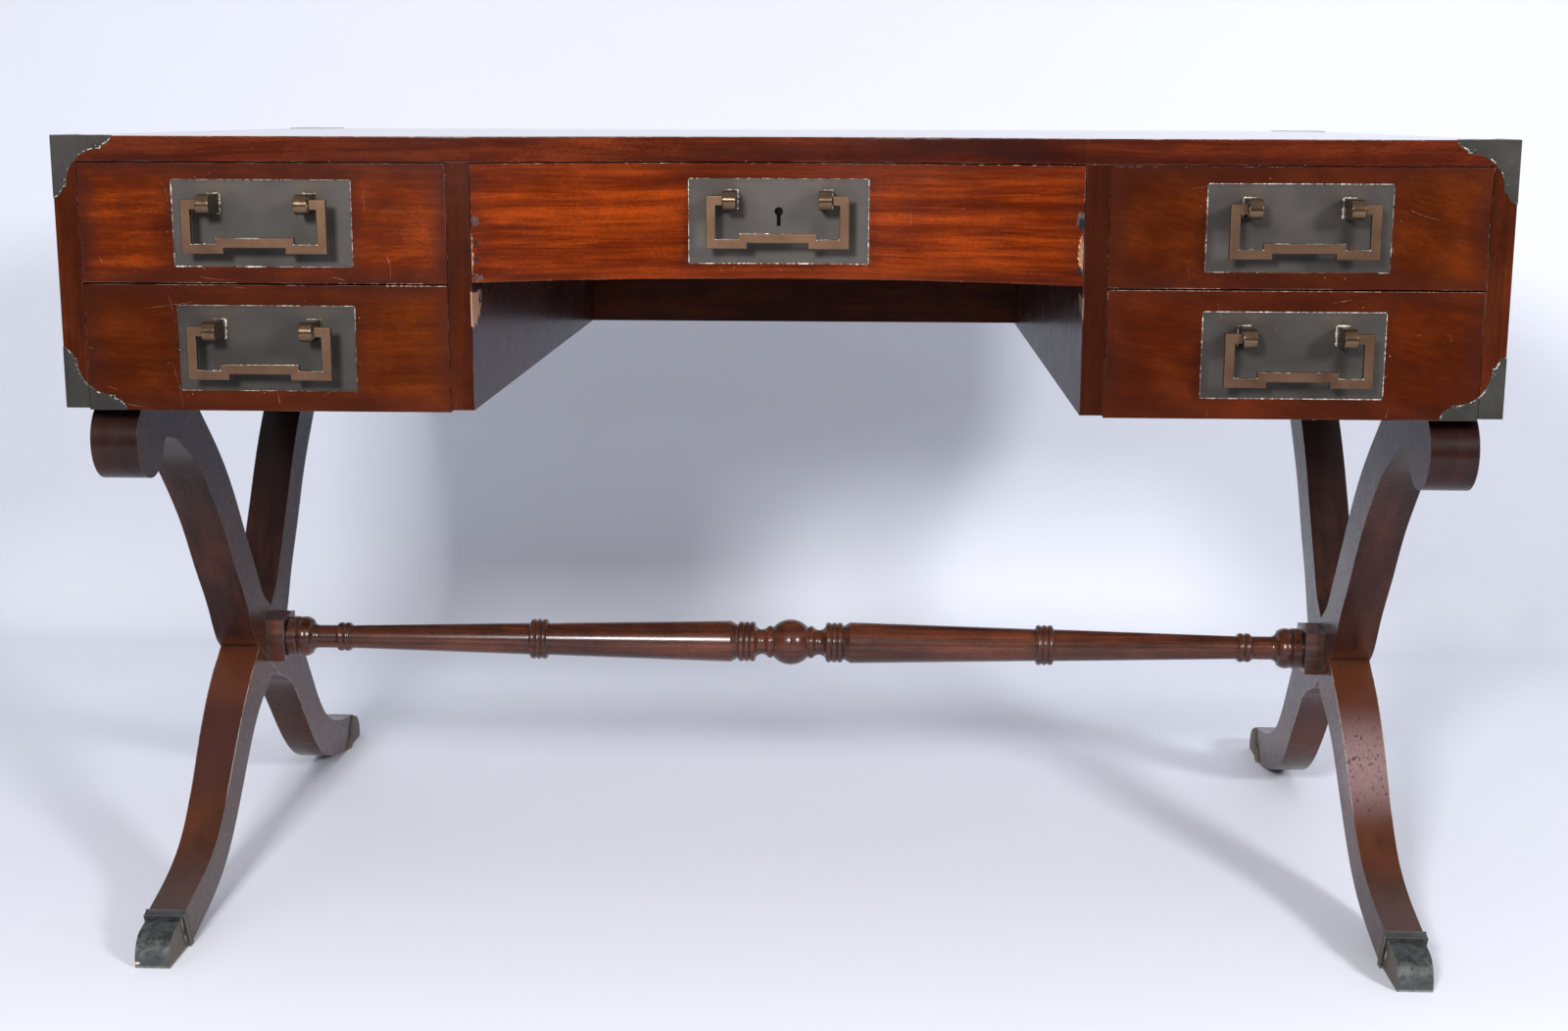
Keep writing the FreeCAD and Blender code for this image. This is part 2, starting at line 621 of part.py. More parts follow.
def crossing_band(profile, place):
    """The straight stretch of the other leg, which lies in this leg's halving notch."""
    slope = math.radians(s.crossing_slope)
    along = (math.cos(slope), math.sin(slope))
    reach = s.crossing_straight
    half = s.crossing_width / 2
    corners = []
    for run, side in ((-reach, -half), (reach, -half), (reach, half), (-reach, half)):
        corners.append(place((run * along[0] - side * along[1], run * along[1] + side * along[0])))
    polygon(profile, corners)


def sabot_points():
    """Named points of a shoe: x runs back from the toe's tip, y is the height over the floor."""
    lean = math.atan2(s.sabot_heel - s.sabot_band_back, s.sabot_band_top)
    step = s.sabot_band_length / math.cos(lean)
    drop = s.sabot_band_drop
    front = s.sabot_band_back - step
    return {
        "tip": (0.0, 0.0),
        "instep": (front + s.sabot_wall, s.sabot_band_top - drop - s.sabot_wall),
        "band_front": (front, s.sabot_band_top - drop),
        "band_back": (s.sabot_band_back, s.sabot_band_top),
        "heel": (s.sabot_heel, 0.0),
        "band_low": (s.sabot_heel - step, 0.0),
    }


def toe_core(profile, place):
    """The wooden toe inside its shoe, which runs back past the band into the leg."""
    wall = s.sabot_sole
    slant = (s.sabot_heel - s.sabot_band_back) / s.sabot_band_top
    low, middle, top = [place((wall + x, wall + y)) for x, y in CORE_NOSE]
    upper = place((s.sabot_heel + s.core_tail - slant * s.core_height, s.core_height))
    lower = place((s.sabot_heel + s.core_tail - slant * wall, wall))
    line(profile, place((wall, wall)), low)
    arc(profile, low, middle, top)
    line(profile, top, upper)
    line(profile, upper, lower)
    line(profile, lower, place((wall, wall)))


def leg_place(end):
    """Where a leg's own outline lies: its scroll is at one end of the desk and its toe at the other."""
    return lambda p: (s.middle_y + end * p[0], s.crossing_height + p[1])


def foot_span(end):
    return s.front_foot_span if end < 0 else s.rear_foot_span


def toe_place(end):
    """Where a shoe's own outline lies, for a foot at the front or at the rear."""
    tip = s.middle_y + end * foot_span(end)
    return lambda p: (tip - end * p[0], p[1])


def make_leg(side, a, end, b):
    """One leg with its foot at the front or rear, halved where it crosses the other leg."""
    made = new_body(f"leg_{side}_{end}_blank")
    inner = "frame_face - leg_thickness"
    start = inner if a > 0 else "-frame_face"
    profile = sketch(made, "YZ_Plane", start)
    leg_outline(profile, leg_place(-b), foot_span(b))
    pad(made, profile, "leg_thickness")

    taper = sketch(made, "XZ_Plane", "front_y")
    low = s.crossing_height - s.crossing_width * TAPER_START
    inner_x = s.frame_face - s.leg_thickness
    toe_x = s.frame_face - s.toe_thickness
    wedge = [(inner_x - 1, low), (inner_x, low), (toe_x, 0), (toe_x, -SPARE), (inner_x - 1, -SPARE)]
    polygon(taper, [(a * x, z) for x, z in wedge])
    pocket(made, taper, "desk_depth")

    half = "leg_thickness / 2"
    at = inner if b < 0 else f"frame_face - {half}"
    at = at if a > 0 else f"-({at}) - {half}"
    notch = sketch(made, "YZ_Plane", at)
    crossing_band(notch, leg_place(b))
    pocket(made, notch, half)

    core = sketch(made, "YZ_Plane", foot_face(a, "sabot_width / 2 - sabot_wall"))
    toe_core(core, toe_place(b))
    pad(made, core, "sabot_width - 2 * sabot_wall")

    bore = inner if a > 0 else "leg_thickness - frame_face - tenon_length - tenon_clearance"
    hole = sketch(made, "YZ_Plane", bore)
    circle(hole, (s.middle_y, s.crossing_height), s.tenon_diameter / 2 + s.tenon_clearance)
    pocket(made, hole, "tenon_length + tenon_clearance")
    return made


def foot_face(a, half):
    """The lower-X face of something that is centred on a foot and reaches half as given."""
    centre = "frame_face - toe_thickness / 2"
    return f"{centre} - ({half})" if a > 0 else f"-({centre}) - ({half})"


def make_sabot(side, a, end, b):
    """A cast shoe: a hollow toe with a raised band across its mouth."""
    made = new_body(f"sabot_{end}_{side}")
    point = sabot_points()
    place = toe_place(b)
    low, middle, top = SABOT_NOSE
    under_band = ((point["band_front"][0] + point["band_back"][0]) / 2, point["band_front"][1])
    inside_heel = (s.sabot_heel - s.sabot_sole, 0.0)
    toe = sketch(made, "YZ_Plane", foot_face(a, "sabot_width / 2"))
    line(toe, place(point["tip"]), place(low))
    arc(toe, place(low), place(middle), place(top))
    rest = [top, point["instep"], under_band, inside_heel, point["tip"]]
    for start, finish in zip(rest, rest[1:]):
        line(toe, place(start), place(finish))
    pad(made, toe, "sabot_width")
    band = sketch(made, "YZ_Plane", foot_face(a, "sabot_band_width / 2"))
    polygon(band, [place(point[key]) for key in ("band_front", "band_back", "heel", "band_low")])
    pad(made, band, "sabot_band_width")
    core = sketch(made, "YZ_Plane", foot_face(a, "sabot_width / 2 - sabot_wall"))
    toe_core(core, place)
    pocket(made, core, "sabot_width - 2 * sabot_wall")
    return made


def make_screws(name, shank, head):
    """Countersunk screws down through the pedestal bottoms into the legs' flat tops."""
    made = []
    for side, a in SIDES:
        for end, b in ENDS:
            for count in (0, 1):
                x = f"{a} * (frame_face - screw_inset)"
                y = f"middle_y + {b} * (leg_span - screw_first - {count} * screw_pitch)"
                top = "case_z + bottom_thickness"
                tag = f"{name}_{side}_{end}_{count}"
                cone = DOC.addObject("Part::Cone", f"{tag}_head")
                bind(cone, Radius1=shank, Radius2=head, Height="screw_head_height")
                stem = DOC.addObject("Part::Cylinder", f"{tag}_shank")
                bind(stem, Radius=shank, Height="screw_length - screw_head_height")
                for item, z in ((cone, f"{top} - screw_head_height"), (stem, f"{top} - screw_length")):
                    bind(item, Placement__Base__x=x, Placement__Base__y=y, Placement__Base__z=z)
                made.append(combine("Part::Fuse", tag, Base=cone, Tool=stem))
    return group(name, made)


def ring_group(start, count, width, radius, floor):
    """Rounded rings side by side; each is an arc up from its groove to its crown and down again."""
    steps = []
    for number in range(count):
        low = start + number * width
        steps.append(("line", (low, floor)))
        steps.append(("arc", (low + width / 2, radius), (low + width, floor)))
    return steps


def make_stretcher():
    """A turned rod between square blocks, with a ball in the middle, and a round tenon at each end."""
    block_start = s.frame_face - s.leg_thickness - s.block_length
    ball_end = s.ball_length / 2
    ball_edge = math.sqrt(s.ball_radius ** 2 - ball_end ** 2)
    ball_turn = math.sqrt(s.ball_radius ** 2 - (ball_end / 2) ** 2)
    bead_end = ball_end + BALL_BEAD[0]
    cove_start = s.inner_ring_place - BALL_COVE[0]
    inner_end = s.inner_ring_place + RINGS * s.ring_width
    outer_end = s.outer_ring_place + RINGS * s.ring_width
    low_ring = s.ring_radius - GROOVE
    neck = s.rod_thin
    steps = [("arc", (ball_end / 2, ball_turn), (ball_end, ball_edge))]
    steps += [("arc", ((ball_end + bead_end) / 2, ball_edge + BALL_BEAD[1]), (bead_end, ball_edge))]
    cove_end = (s.inner_ring_place, ball_edge + BALL_COVE[2])
    steps += [("arc", (cove_start, ball_edge - BALL_COVE[1]), cove_end)]
    steps += ring_group(s.inner_ring_place, RINGS, s.ring_width, s.ring_radius, low_ring)
    steps += [("line", (inner_end + INNER_CHAMFER[0], s.rod_thick - INNER_CHAMFER[2]))]
    steps += [("line", (inner_end + INNER_CHAMFER[1], s.rod_thick))]
    steps += [("line", (s.outer_ring_place, s.rod_middle))]
    steps += ring_group(s.outer_ring_place, RINGS, s.ring_width, s.ring_radius, low_ring)
    steps += [("line", (outer_end, s.rod_middle)), ("line", (s.bead_place, neck))]
    steps += ring_group(s.bead_place, 2, s.bead_width, s.bead_radius, s.bead_radius - BEAD_GROOVE)
    steps += [("line", (s.bead_place + 2 * s.bead_width, neck))]
    flare = [(block_start - before, neck + rise) for before, rise in FLARE]
    steps += [("line", flare[0]), ("arc", *flare[1:])]
    torus, torus_end = [block_start - before for before in BLOCK_TORUS]
    before_block, in_block = block_start - BLOCK_NECK[0], block_start + BLOCK_NECK[0]
    slim = s.ring_radius - BLOCK_NECK[1]
    tenon = s.tenon_diameter / 2
    tenon_end = block_start + s.block_length + s.tenon_length
    steps += [("arc", (torus, s.ring_radius), (torus_end, low_ring))]
    steps += [("line", (torus_end, s.ring_radius)), ("line", (before_block, s.ring_radius))]
    steps += [("line", (before_block, slim)), ("line", (in_block, slim)), ("line", (in_block, tenon))]
    steps += [("line", (tenon_end, tenon)), ("line", (tenon_end, 0.0))]

    made = new_body("stretcher")
    profile = sketch(made, "XZ_Plane", "middle_y")
    bind(profile, AttachmentOffset__Base__y="crossing_height")
    for side in (-1, 1):
        at = (0.0, s.ball_radius)
        for step in steps:
            spots = [(side * x, r) for x, r in (at, *step[1:])]
            if spots[0] != spots[-1]:
                {"line": line, "arc": arc}[step[0]](profile, *spots)
            at = step[-1]
    line(profile, (-tenon_end, 0), (tenon_end, 0))
    turned = made.newObject("PartDesign::Revolution", "turning")
    turned.Profile = profile
    turned.ReferenceAxis = (profile, ["H_Axis"])
    turned.Angle = 360
    for start in ("leg_thickness - frame_face", "frame_face - leg_thickness - block_length"):
        square = sketch(made, "YZ_Plane", start)
        half = s.block_side / 2
        rectangle(square, (s.middle_y - half, s.crossing_height - half),
                  (s.middle_y + half, s.crossing_height + half))
        pad(made, square, "block_length")
    node(made, "stretcher")


def make_ends():
    """Both X-shaped ends, their shoes and the screws that hold the case."""
    screws = make_screws("frame_screws", "screw_diameter / 2", "screw_head_diameter / 2")
    node(screws, "frame_screws")
    holes = DOC.getObject("screw_holes")
    for side, a in SIDES:
        for end, b in ENDS:
            leg = make_leg(side, a, end, b)
            name = f"leg_{side}_{end}"
            node(cut(name, leg, holes), name)
            sabot = make_sabot(side, a, end, b)
            node(sabot, sabot.Name)
    make_stretcher()


# ---------------------------------------------------------------- drawers

def lock_y():
    """The front face of the lock case, let into the back of the centre front."""
    return recess_line(0, s.front_thickness) - s.lock_inset


def make_posts(name, x, plate_y, pivot_z, back_y):
    """Two posts with round fronts, each with a pivot hole and a stud through the drawer front."""
    posts = []
    radius = s.post_height / 2
    pivot_y = plate_y - s.post_reach + radius
    for tag, way in (("a", -1), ("b", 1)):
        middle = x + way * s.post_spacing / 2
        made = new_body(f"{name}_post_{tag}")
        profile = sketch(made, "YZ_Plane", f"{middle} - post_width / 2")
        root = plate_y + s.plate_thickness
        line(profile, (pivot_y, pivot_z + radius), (root, pivot_z + radius))
        line(profile, (root, pivot_z + radius), (root, pivot_z - radius))
        line(profile, (root, pivot_z - radius), (pivot_y, pivot_z - radius))
        arc(profile, (pivot_y, pivot_z - radius), (pivot_y - radius, pivot_z), (pivot_y, pivot_z + radius))
        rounded(made, pad(made, profile, "post_width"), "post_rounding",
                lambda box: box.XLength < TOUCH and box.YMin < root - TOUCH)
        eye = sketch(made, "YZ_Plane", f"{middle} - post_width / 2")
        circle(eye, (pivot_y, pivot_z), s.pin_diameter / 2 + s.pin_clearance)
        pocket(made, eye, "post_width")
        stud = sketch(made, "XZ_Plane", f"{plate_y} + plate_thickness")
        circle(stud, (middle, pivot_z), s.stud_diameter / 2)
        pad(made, stud, f"{back_y} + stud_tail - {plate_y} - plate_thickness")
        posts.append(made)
    return node(group(f"{name}_posts", posts), f"{name}_posts")


def make_bail(name, x, plate_y, pivot_z):
    """A flat bar bent to a stepped bail, with its arms turned in to pins that run in the posts."""
    made = new_body(f"{name}_bail")
    pivot_y = plate_y - s.post_reach + s.post_height / 2
    out = s.bail_width / 2
    bar = s.bail_bar
    arm = s.post_spacing / 2 + s.post_width / 2 + s.bail_clearance
    low = pivot_z - s.bail_drop
    step = low + s.bail_step
    half = [(s.bail_low_notch / 2, step), (s.bail_low_notch / 2, low), (out, low), (out, pivot_z + bar / 2),
            (arm, pivot_z + bar / 2), (arm, pivot_z - bar / 2), (out - bar, pivot_z - bar / 2),
            (out - bar, low + bar), (s.bail_high_notch / 2, low + bar), (s.bail_high_notch / 2, step + bar)]
    points = [(x + px, z) for px, z in half] + [(x - px, z) for px, z in half[::-1]]
    profile = sketch(made, "XZ_Plane", f"{pivot_y} - bail_thickness / 2")
    polygon(profile, points)
    rounded(made, pad(made, profile, "bail_thickness"), "bail_rounding", lambda box: box.YLength < TOUCH)
    for way in (-1, 1):
        pin = sketch(made, "YZ_Plane", f"{x + way * arm} + {way} * bail_rounding")
        circle(pin, (pivot_y, pivot_z), s.pin_diameter / 2)
        pad(made, pin, "pin_length + bail_rounding", backwards=way > 0)
    return node(made, made.Name)


def post_hole_sketch(front, x, pivot_z, offset):
    holes = sketch(front, "XZ_Plane", offset)
    for way in (-1, 1):
        circle(holes, (x + way * s.post_spacing / 2, pivot_z), s.stud_diameter / 2 + s.stud_clearance)
    return holes


def post_seat_sketch(front, pivot_z):
    """Flat seats for the square roots of two posts, let into the hollow front under its curved plate."""
    seats = sketch(front, "XZ_Plane", "front_y")
    for way in (-1, 1):
        x = way * s.post_spacing / 2
        rectangle(seats, (x - s.post_width / 2, pivot_z - s.post_height / 2),
                  (x + s.post_width / 2, pivot_z + s.post_height / 2))
    return seats


def tail_outlines(profile, back, low, high, depth):
    """Dovetails side by side between two heights; they widen forwards from the front end of a side."""
    pitch = (high - low) / TAILS
    root = TAIL_SHARE * pitch / 2
    tip = root + s.dovetail_flare
    for count in range(TAILS):
        middle = low + (count + 0.5) * pitch
        polygon(profile, [(back, middle - root), (back, middle + root),
                          (back - depth, middle + tip), (back - depth, middle - tip)])


def dovetail_range(box_low, box_high):
    """The heights between which a drawer side has dovetails."""
    low = box_low + s.groove_lift + s.drawer_bottom_thickness + s.dovetail_margin
    return low, box_high - s.dovetail_margin


def cut_dovetails(front, x0, x1, box_low, box_high, back, depth):
    """Sockets in a drawer front for the dovetails of both sides."""
    for edge in (f"{x0}", f"{x1} - drawer_side_thickness"):
        sockets = sketch(front, "YZ_Plane", edge)
        tail_outlines(sockets, back, *dovetail_range(box_low, box_high), depth)
        pocket(front, sockets, "drawer_side_thickness")


def make_box(name, x0, x1, low, high, front_back, far, tails_back, depth, front=None):
    """A drawer's dovetailed sides and its back, behind a front whose back face is at front_back."""
    sides = []
    thick = s.drawer_side_thickness
    groove_low = low + s.groove_lift
    groove_high = groove_low + s.drawer_bottom_thickness
    for tag, edge, way in (("a", x0, 1), ("b", x1, -1)):
        made = new_body(f"{name}_side_{tag}")
        section = sketch(made, "XZ_Plane", f"{front_back}")
        inner = edge + way * thick
        deep = inner - way * s.groove_depth
        polygon(section, [(edge, low), (inner, low), (inner, groove_low), (deep, groove_low),
                          (deep, groove_high), (inner, groove_high), (inner, high), (edge, high)])
        pad(made, section, f"{far} - {front_back}")
        tails = sketch(made, "YZ_Plane", f"{min(edge, inner)}")
        tail_outlines(tails, tails_back, *dovetail_range(low, high), depth)
        pad(made, tails, "drawer_side_thickness")
        sides.append(cut(f"{name}_fitted_side_{tag}", made, front) if front else made)
    node(group(f"{name}_sides", sides), f"{name}_sides")
    corner = (f"{x0} + drawer_side_thickness", f"{far} - drawer_back_thickness", f"{groove_high}")
    length = f"{x1} - {x0} - 2 * drawer_side_thickness"
    back = board(f"{name}_back", corner, (length, "drawer_back_thickness", f"{high} - {groove_high}"))
    node(back, f"{name}_back")


def make_pedestal_drawer(row, side, a):
    """One drawer of a pedestal: flat front with a let-in plate, and a box behind it."""
    name = f"{row}_{side}"
    x0 = min(a * (s.knee_half + s.side_thickness), a * (s.half_width - s.side_thickness)) + s.front_gap
    x1 = max(a * (s.knee_half + s.side_thickness), a * (s.half_width - s.side_thickness)) - s.front_gap
    if row == "upper":
        low, high = s.upper_front_z, s.front_top_z
        box_low, box_high = s.divider_z + s.divider_thickness, s.top_z
    else:
        low, high = s.lower_front_z, s.lower_top_z
        box_low, box_high = s.case_z + s.bottom_thickness, s.divider_z
    box_low += s.running_gap
    box_high -= s.headroom
    middle_x = (x0 + x1) / 2
    middle_z = (low + high) / 2
    plate_top = middle_z + s.plate_height / 2
    pivot_z = plate_top - s.post_drop
    back_face = s.front_y + s.front_thickness

    posts = make_posts(name, middle_x, s.front_y, pivot_z, back_face)
    make_bail(name, middle_x, s.front_y, pivot_z)
    corner = (f"{middle_x} - plate_width / 2", "front_y", f"{middle_z} - plate_height / 2")
    blank = board(f"{name}_plate_blank", corner, ("plate_width", "plate_thickness", "plate_height"))
    node(cut(f"{name}_plate", blank, posts), f"{name}_plate")

    front = new_body(f"{name}_front_board")
    face = sketch(front, "XZ_Plane", "front_y")
    rectangle(face, (x0, low), (x1, high))
    pad(front, face, "front_thickness")
    seat = sketch(front, "XZ_Plane", "front_y")
    half = s.plate_width / 2
    rectangle(seat, (middle_x - half, middle_z - s.plate_height / 2), (middle_x + half, plate_top))
    pocket(front, seat, "plate_thickness")
    pocket(front, post_hole_sketch(front, middle_x, pivot_z, "front_y"), "front_thickness")
    groove = sketch(front, "XZ_Plane", f"{back_face} - groove_depth")
    groove_low = box_low + s.groove_lift
    reach = s.drawer_side_thickness - s.groove_depth
    rectangle(groove, (x0 + reach, groove_low), (x1 - reach, groove_low + s.drawer_bottom_thickness))
    pocket(front, groove, "groove_depth")
    cut_dovetails(front, x0, x1, box_low, box_high, back_face, s.dovetail_depth)

    if row == "lower":
        piece = drawer_bracket(side, a)
        node(cut(f"{name}_front", front, piece), f"{name}_front")
        node(piece, f"{name}_bracket")
    else:
        node(front, f"{name}_front")

    far = s.drawer_end_y
    make_box(name, x0, x1, box_low, box_high, back_face, far, back_face, s.dovetail_depth)
    corner = (f"{x0} + {reach}", f"{back_face} - groove_depth", f"{groove_low}")
    size = (f"{x1 - x0} - 2 * {reach}", f"{far} - {back_face} + groove_depth", "drawer_bottom_thickness")
    bottom = board(f"{name}_bottom", corner, size)
    node(bottom, f"{name}_bottom")


def drawer_bracket(side, a):
    """The part of a lower front bracket that is fixed on the drawer front and moves with it."""
    made = new_body(f"lower_{side}_bracket")
    inner_y = "front_y - bracket_proud"
    profile = sketch(made, "XZ_Plane", inner_y)
    half = bracket_half()
    saw = s.side_thickness + s.front_gap
    radius = s.bracket_sweep_radius
    far = s.bracket_sweep
    start = (saw, far - math.sqrt(radius ** 2 - (far - saw) ** 2))

    def place(p):
        return a * (s.half_width - p[0]), s.case_z + p[1]

    low = -s.front_overhang
    line(profile, place((saw, low)), place((s.bracket_leg, low)))
    line(profile, place((s.bracket_leg, low)), place(half["tip"]))
    arc(profile, place(half["tip"]), place(half["bulge"]), place(half["lobe"]))
    line(profile, place(half["lobe"]), place(half["step"]))
    arc(profile, place(half["step"]), place(half["turn"]), place(start))
    line(profile, place(start), place((saw, low)))
    pad(made, profile, "bracket_thickness")
    return made


def keyhole(profile, centre_z):
    """A round hole with a slot below it."""
    radius = s.keyhole_diameter / 2
    half = s.keyhole_slot / 2
    meet = centre_z - math.sqrt(radius ** 2 - half ** 2)
    low = centre_z + radius - s.keyhole_height
    arc(profile, (-half, meet), (0, centre_z + radius), (half, meet))
    line(profile, (half, meet), (half, low))
    line(profile, (half, low), (-half, low))
    line(profile, (-half, low), (-half, meet))


def make_centre_drawer():
    """The centre drawer: hollow front with a curved plate, a lock, and a box behind it."""
    name = "centre"
    half = s.knee_half - s.front_gap
    low, high = s.centre_front_z, s.front_top_z
    middle_z = (low + high) / 2
    plate_top = middle_z + s.plate_height / 2
    pivot_z = plate_top - s.centre_post_drop
    key_z = plate_top - s.keyhole_drop
    plate_y = recess_line(s.post_spacing / 2)
    stud_y = recess_line(0, s.front_thickness)

    posts = make_posts(name, 0.0, plate_y, pivot_z, stud_y)
    make_bail(name, 0.0, plate_y, pivot_z)

    plate = new_body("centre_plate_blank")
    outline = sketch(plate, "XY_Plane", f"{middle_z} - plate_height / 2")
    recess_band(outline, s.centre_plate_width / 2, 0.0, s.plate_thickness)
    pad(plate, outline, "plate_height")
    hole = sketch(plate, "XZ_Plane", "front_y")
    keyhole(hole, key_z)
    pocket(plate, hole, "recess_depth + front_thickness")
    node(cut("centre_plate", plate, posts), "centre_plate")

    front = new_body("centre_front_board")
    outline = sketch(front, "XY_Plane", "centre_front_z")
    recess_band(outline, half, 0.0, s.front_thickness)
    pad(front, outline, "centre_front_height")
    seat = sketch(front, "XY_Plane", f"{middle_z} - plate_height / 2")
    recess_band(seat, s.centre_plate_width / 2, -1.0, s.plate_thickness)
    pocket(front, seat, "plate_height")
    hole = sketch(front, "XZ_Plane", "front_y")
    keyhole(hole, key_z)
    pocket(front, hole, "recess_depth + 2 * front_thickness")
    pocket(front, post_hole_sketch(front, 0.0, pivot_z, "front_y"), "recess_depth + 2 * front_thickness")
    pocket(front, post_seat_sketch(front, pivot_z), f"{plate_y} + plate_thickness - front_y")
    box_low = s.runner_z + s.runner_height + s.running_gap
    box_high = s.top_z - s.headroom
    groove_low = box_low + s.groove_lift
    reach = half - s.drawer_side_thickness + s.groove_depth
    groove = sketch(front, "XY_Plane", f"{groove_low}")
    recess_band(groove, reach, s.front_thickness - s.groove_depth, s.front_thickness + 1.0)
    pocket(front, groove, "drawer_bottom_thickness")
    housing = sketch(front, "XZ_Plane", f"{lock_y()}")
    rectangle(housing, (-s.lock_width / 2, high - s.lock_height), (s.lock_width / 2, high + 1))
    pocket(front, housing, "2 * front_thickness")
    tails_back = recess_line(half - s.drawer_side_thickness, s.front_thickness)
    cut_dovetails(front, -half, half, box_low, box_high, tails_back, s.centre_dovetail_depth)
    node(front, "centre_front")

    far = s.centre_end_y
    make_box(name, -half, half, box_low, box_high, s.front_y + s.front_thickness, far, tails_back,
             s.centre_dovetail_depth, front)
    bottom = new_body("centre_bottom")
    outline = sketch(bottom, "XY_Plane", f"{groove_low}")
    edge = [(x, recess_line(x, s.front_thickness - s.groove_depth)) for x in (-reach, 0, reach)]
    arc(outline, *edge)
    line(outline, edge[2], (reach, far))
    line(outline, (reach, far), (-reach, far))
    line(outline, (-reach, far), edge[0])
    pad(bottom, outline, "drawer_bottom_thickness")
    node(bottom, "centre_bottom")
    make_lock(high, key_z)


def make_lock(high, key_z):
    """A lock case let into the back of the centre front, and the bolt that rises out of it."""
    case = new_body("lock_case")
    face = sketch(case, "XZ_Plane", f"{lock_y()}")
    half = s.lock_width / 2
    rectangle(face, (-half, high - s.lock_height), (half, high))
    pad(case, face, "lock_depth")
    inside = sketch(case, "XZ_Plane", f"{lock_y()} + lock_wall")
    rectangle(inside, (s.lock_wall - half, high - s.lock_height + s.lock_wall),
              (half - s.lock_wall, high - s.lock_wall))
    pocket(case, inside, "lock_depth - 2 * lock_wall")
    slot = sketch(case, "XY_Plane", f"{high} - 2 * lock_wall")
    bolt_half = s.bolt_width / 2
    gap = s.bolt_clearance
    near = lock_y() + s.lock_wall
    rectangle(slot, (-bolt_half - gap, near), (bolt_half + gap, near + s.bolt_depth + 2 * gap))
    pocket(case, slot, "2 * lock_wall")
    hole = sketch(case, "XZ_Plane", f"{lock_y()}")
    keyhole(hole, key_z)
    pocket(case, hole, "lock_wall")
    node(case, "lock_case")
    bolt = board("lock_bolt", ("-bolt_width / 2", f"{near} + bolt_clearance", f"{high} - bolt_height"),
                 ("bolt_width", "bolt_depth", "bolt_height"))
    node(bolt, "lock_bolt")


# ---------------------------------------------------------------- build, check and write

def check_model():
    """Stop unless every object is sound and every cut has really removed something."""
    for item in DOC.Objects:
        if "Invalid" in item.State or "Error" in item.State:
            raise RuntimeError(f"{item.Name} ({item.Label}) failed: {item.State}")
    for item in CUTS:
        base = item.Base if item.TypeId == "Part::Cut" else item.BaseFeature
        if item.Shape.Volume > base.Shape.Volume - 0.01:
            raise RuntimeError(f"{item.Name} removes nothing")
    for item in NODES:
        if item.Shape.isNull() or not item.Shape.isValid():
            raise RuntimeError(f"{item.Label} is not a sound shape")


def main():
    top_brackets, low_brackets = make_brackets()
    make_case(top_brackets, low_brackets)
    make_ends()
    for row in ("upper", "lower"):
        for side, a in SIDES:
            make_pedestal_drawer(row, side, a)
    make_centre_drawer()
    DOC.recompute()
    check_model()
    os.makedirs("parts", exist_ok=True)
    for item in NODES:
        item.Shape.exportStep(os.path.join("parts", f"{item.Label}.step"))
    print(f"{len(NODES)} sub-parts written")


main()
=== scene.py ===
import json
import math

import bmesh
import bpy
import numpy as np
from mathutils import Matrix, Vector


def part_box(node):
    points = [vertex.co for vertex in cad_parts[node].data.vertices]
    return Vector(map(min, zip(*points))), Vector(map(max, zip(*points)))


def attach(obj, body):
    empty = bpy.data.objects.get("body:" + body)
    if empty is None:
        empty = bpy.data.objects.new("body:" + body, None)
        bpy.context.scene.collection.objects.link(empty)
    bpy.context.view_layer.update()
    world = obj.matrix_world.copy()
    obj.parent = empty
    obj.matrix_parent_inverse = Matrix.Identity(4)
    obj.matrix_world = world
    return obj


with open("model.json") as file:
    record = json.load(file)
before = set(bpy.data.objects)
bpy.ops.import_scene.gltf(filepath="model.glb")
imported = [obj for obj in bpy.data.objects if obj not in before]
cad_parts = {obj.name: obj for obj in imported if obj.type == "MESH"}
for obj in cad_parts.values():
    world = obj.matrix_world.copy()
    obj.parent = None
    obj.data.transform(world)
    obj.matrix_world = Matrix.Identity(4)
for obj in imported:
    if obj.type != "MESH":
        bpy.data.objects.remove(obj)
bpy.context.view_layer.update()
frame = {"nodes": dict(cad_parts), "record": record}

NODES = frame["nodes"]
NODE_BODY = {name: body for body, names in frame["record"]["behaviour"]["bodies"].items()
             for name in names}

# A campaign desk: polished mahogany case and sabre legs, patinated brass plates, brackets and toes.
# Metres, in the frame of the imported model: X to the right, -Y towards the sitter, Z up.

DRAWERS = ("upper_left", "upper_right", "lower_left", "lower_right", "centre")
rng = np.random.default_rng(1857)


# ---------------------------------------------------------------- shader building

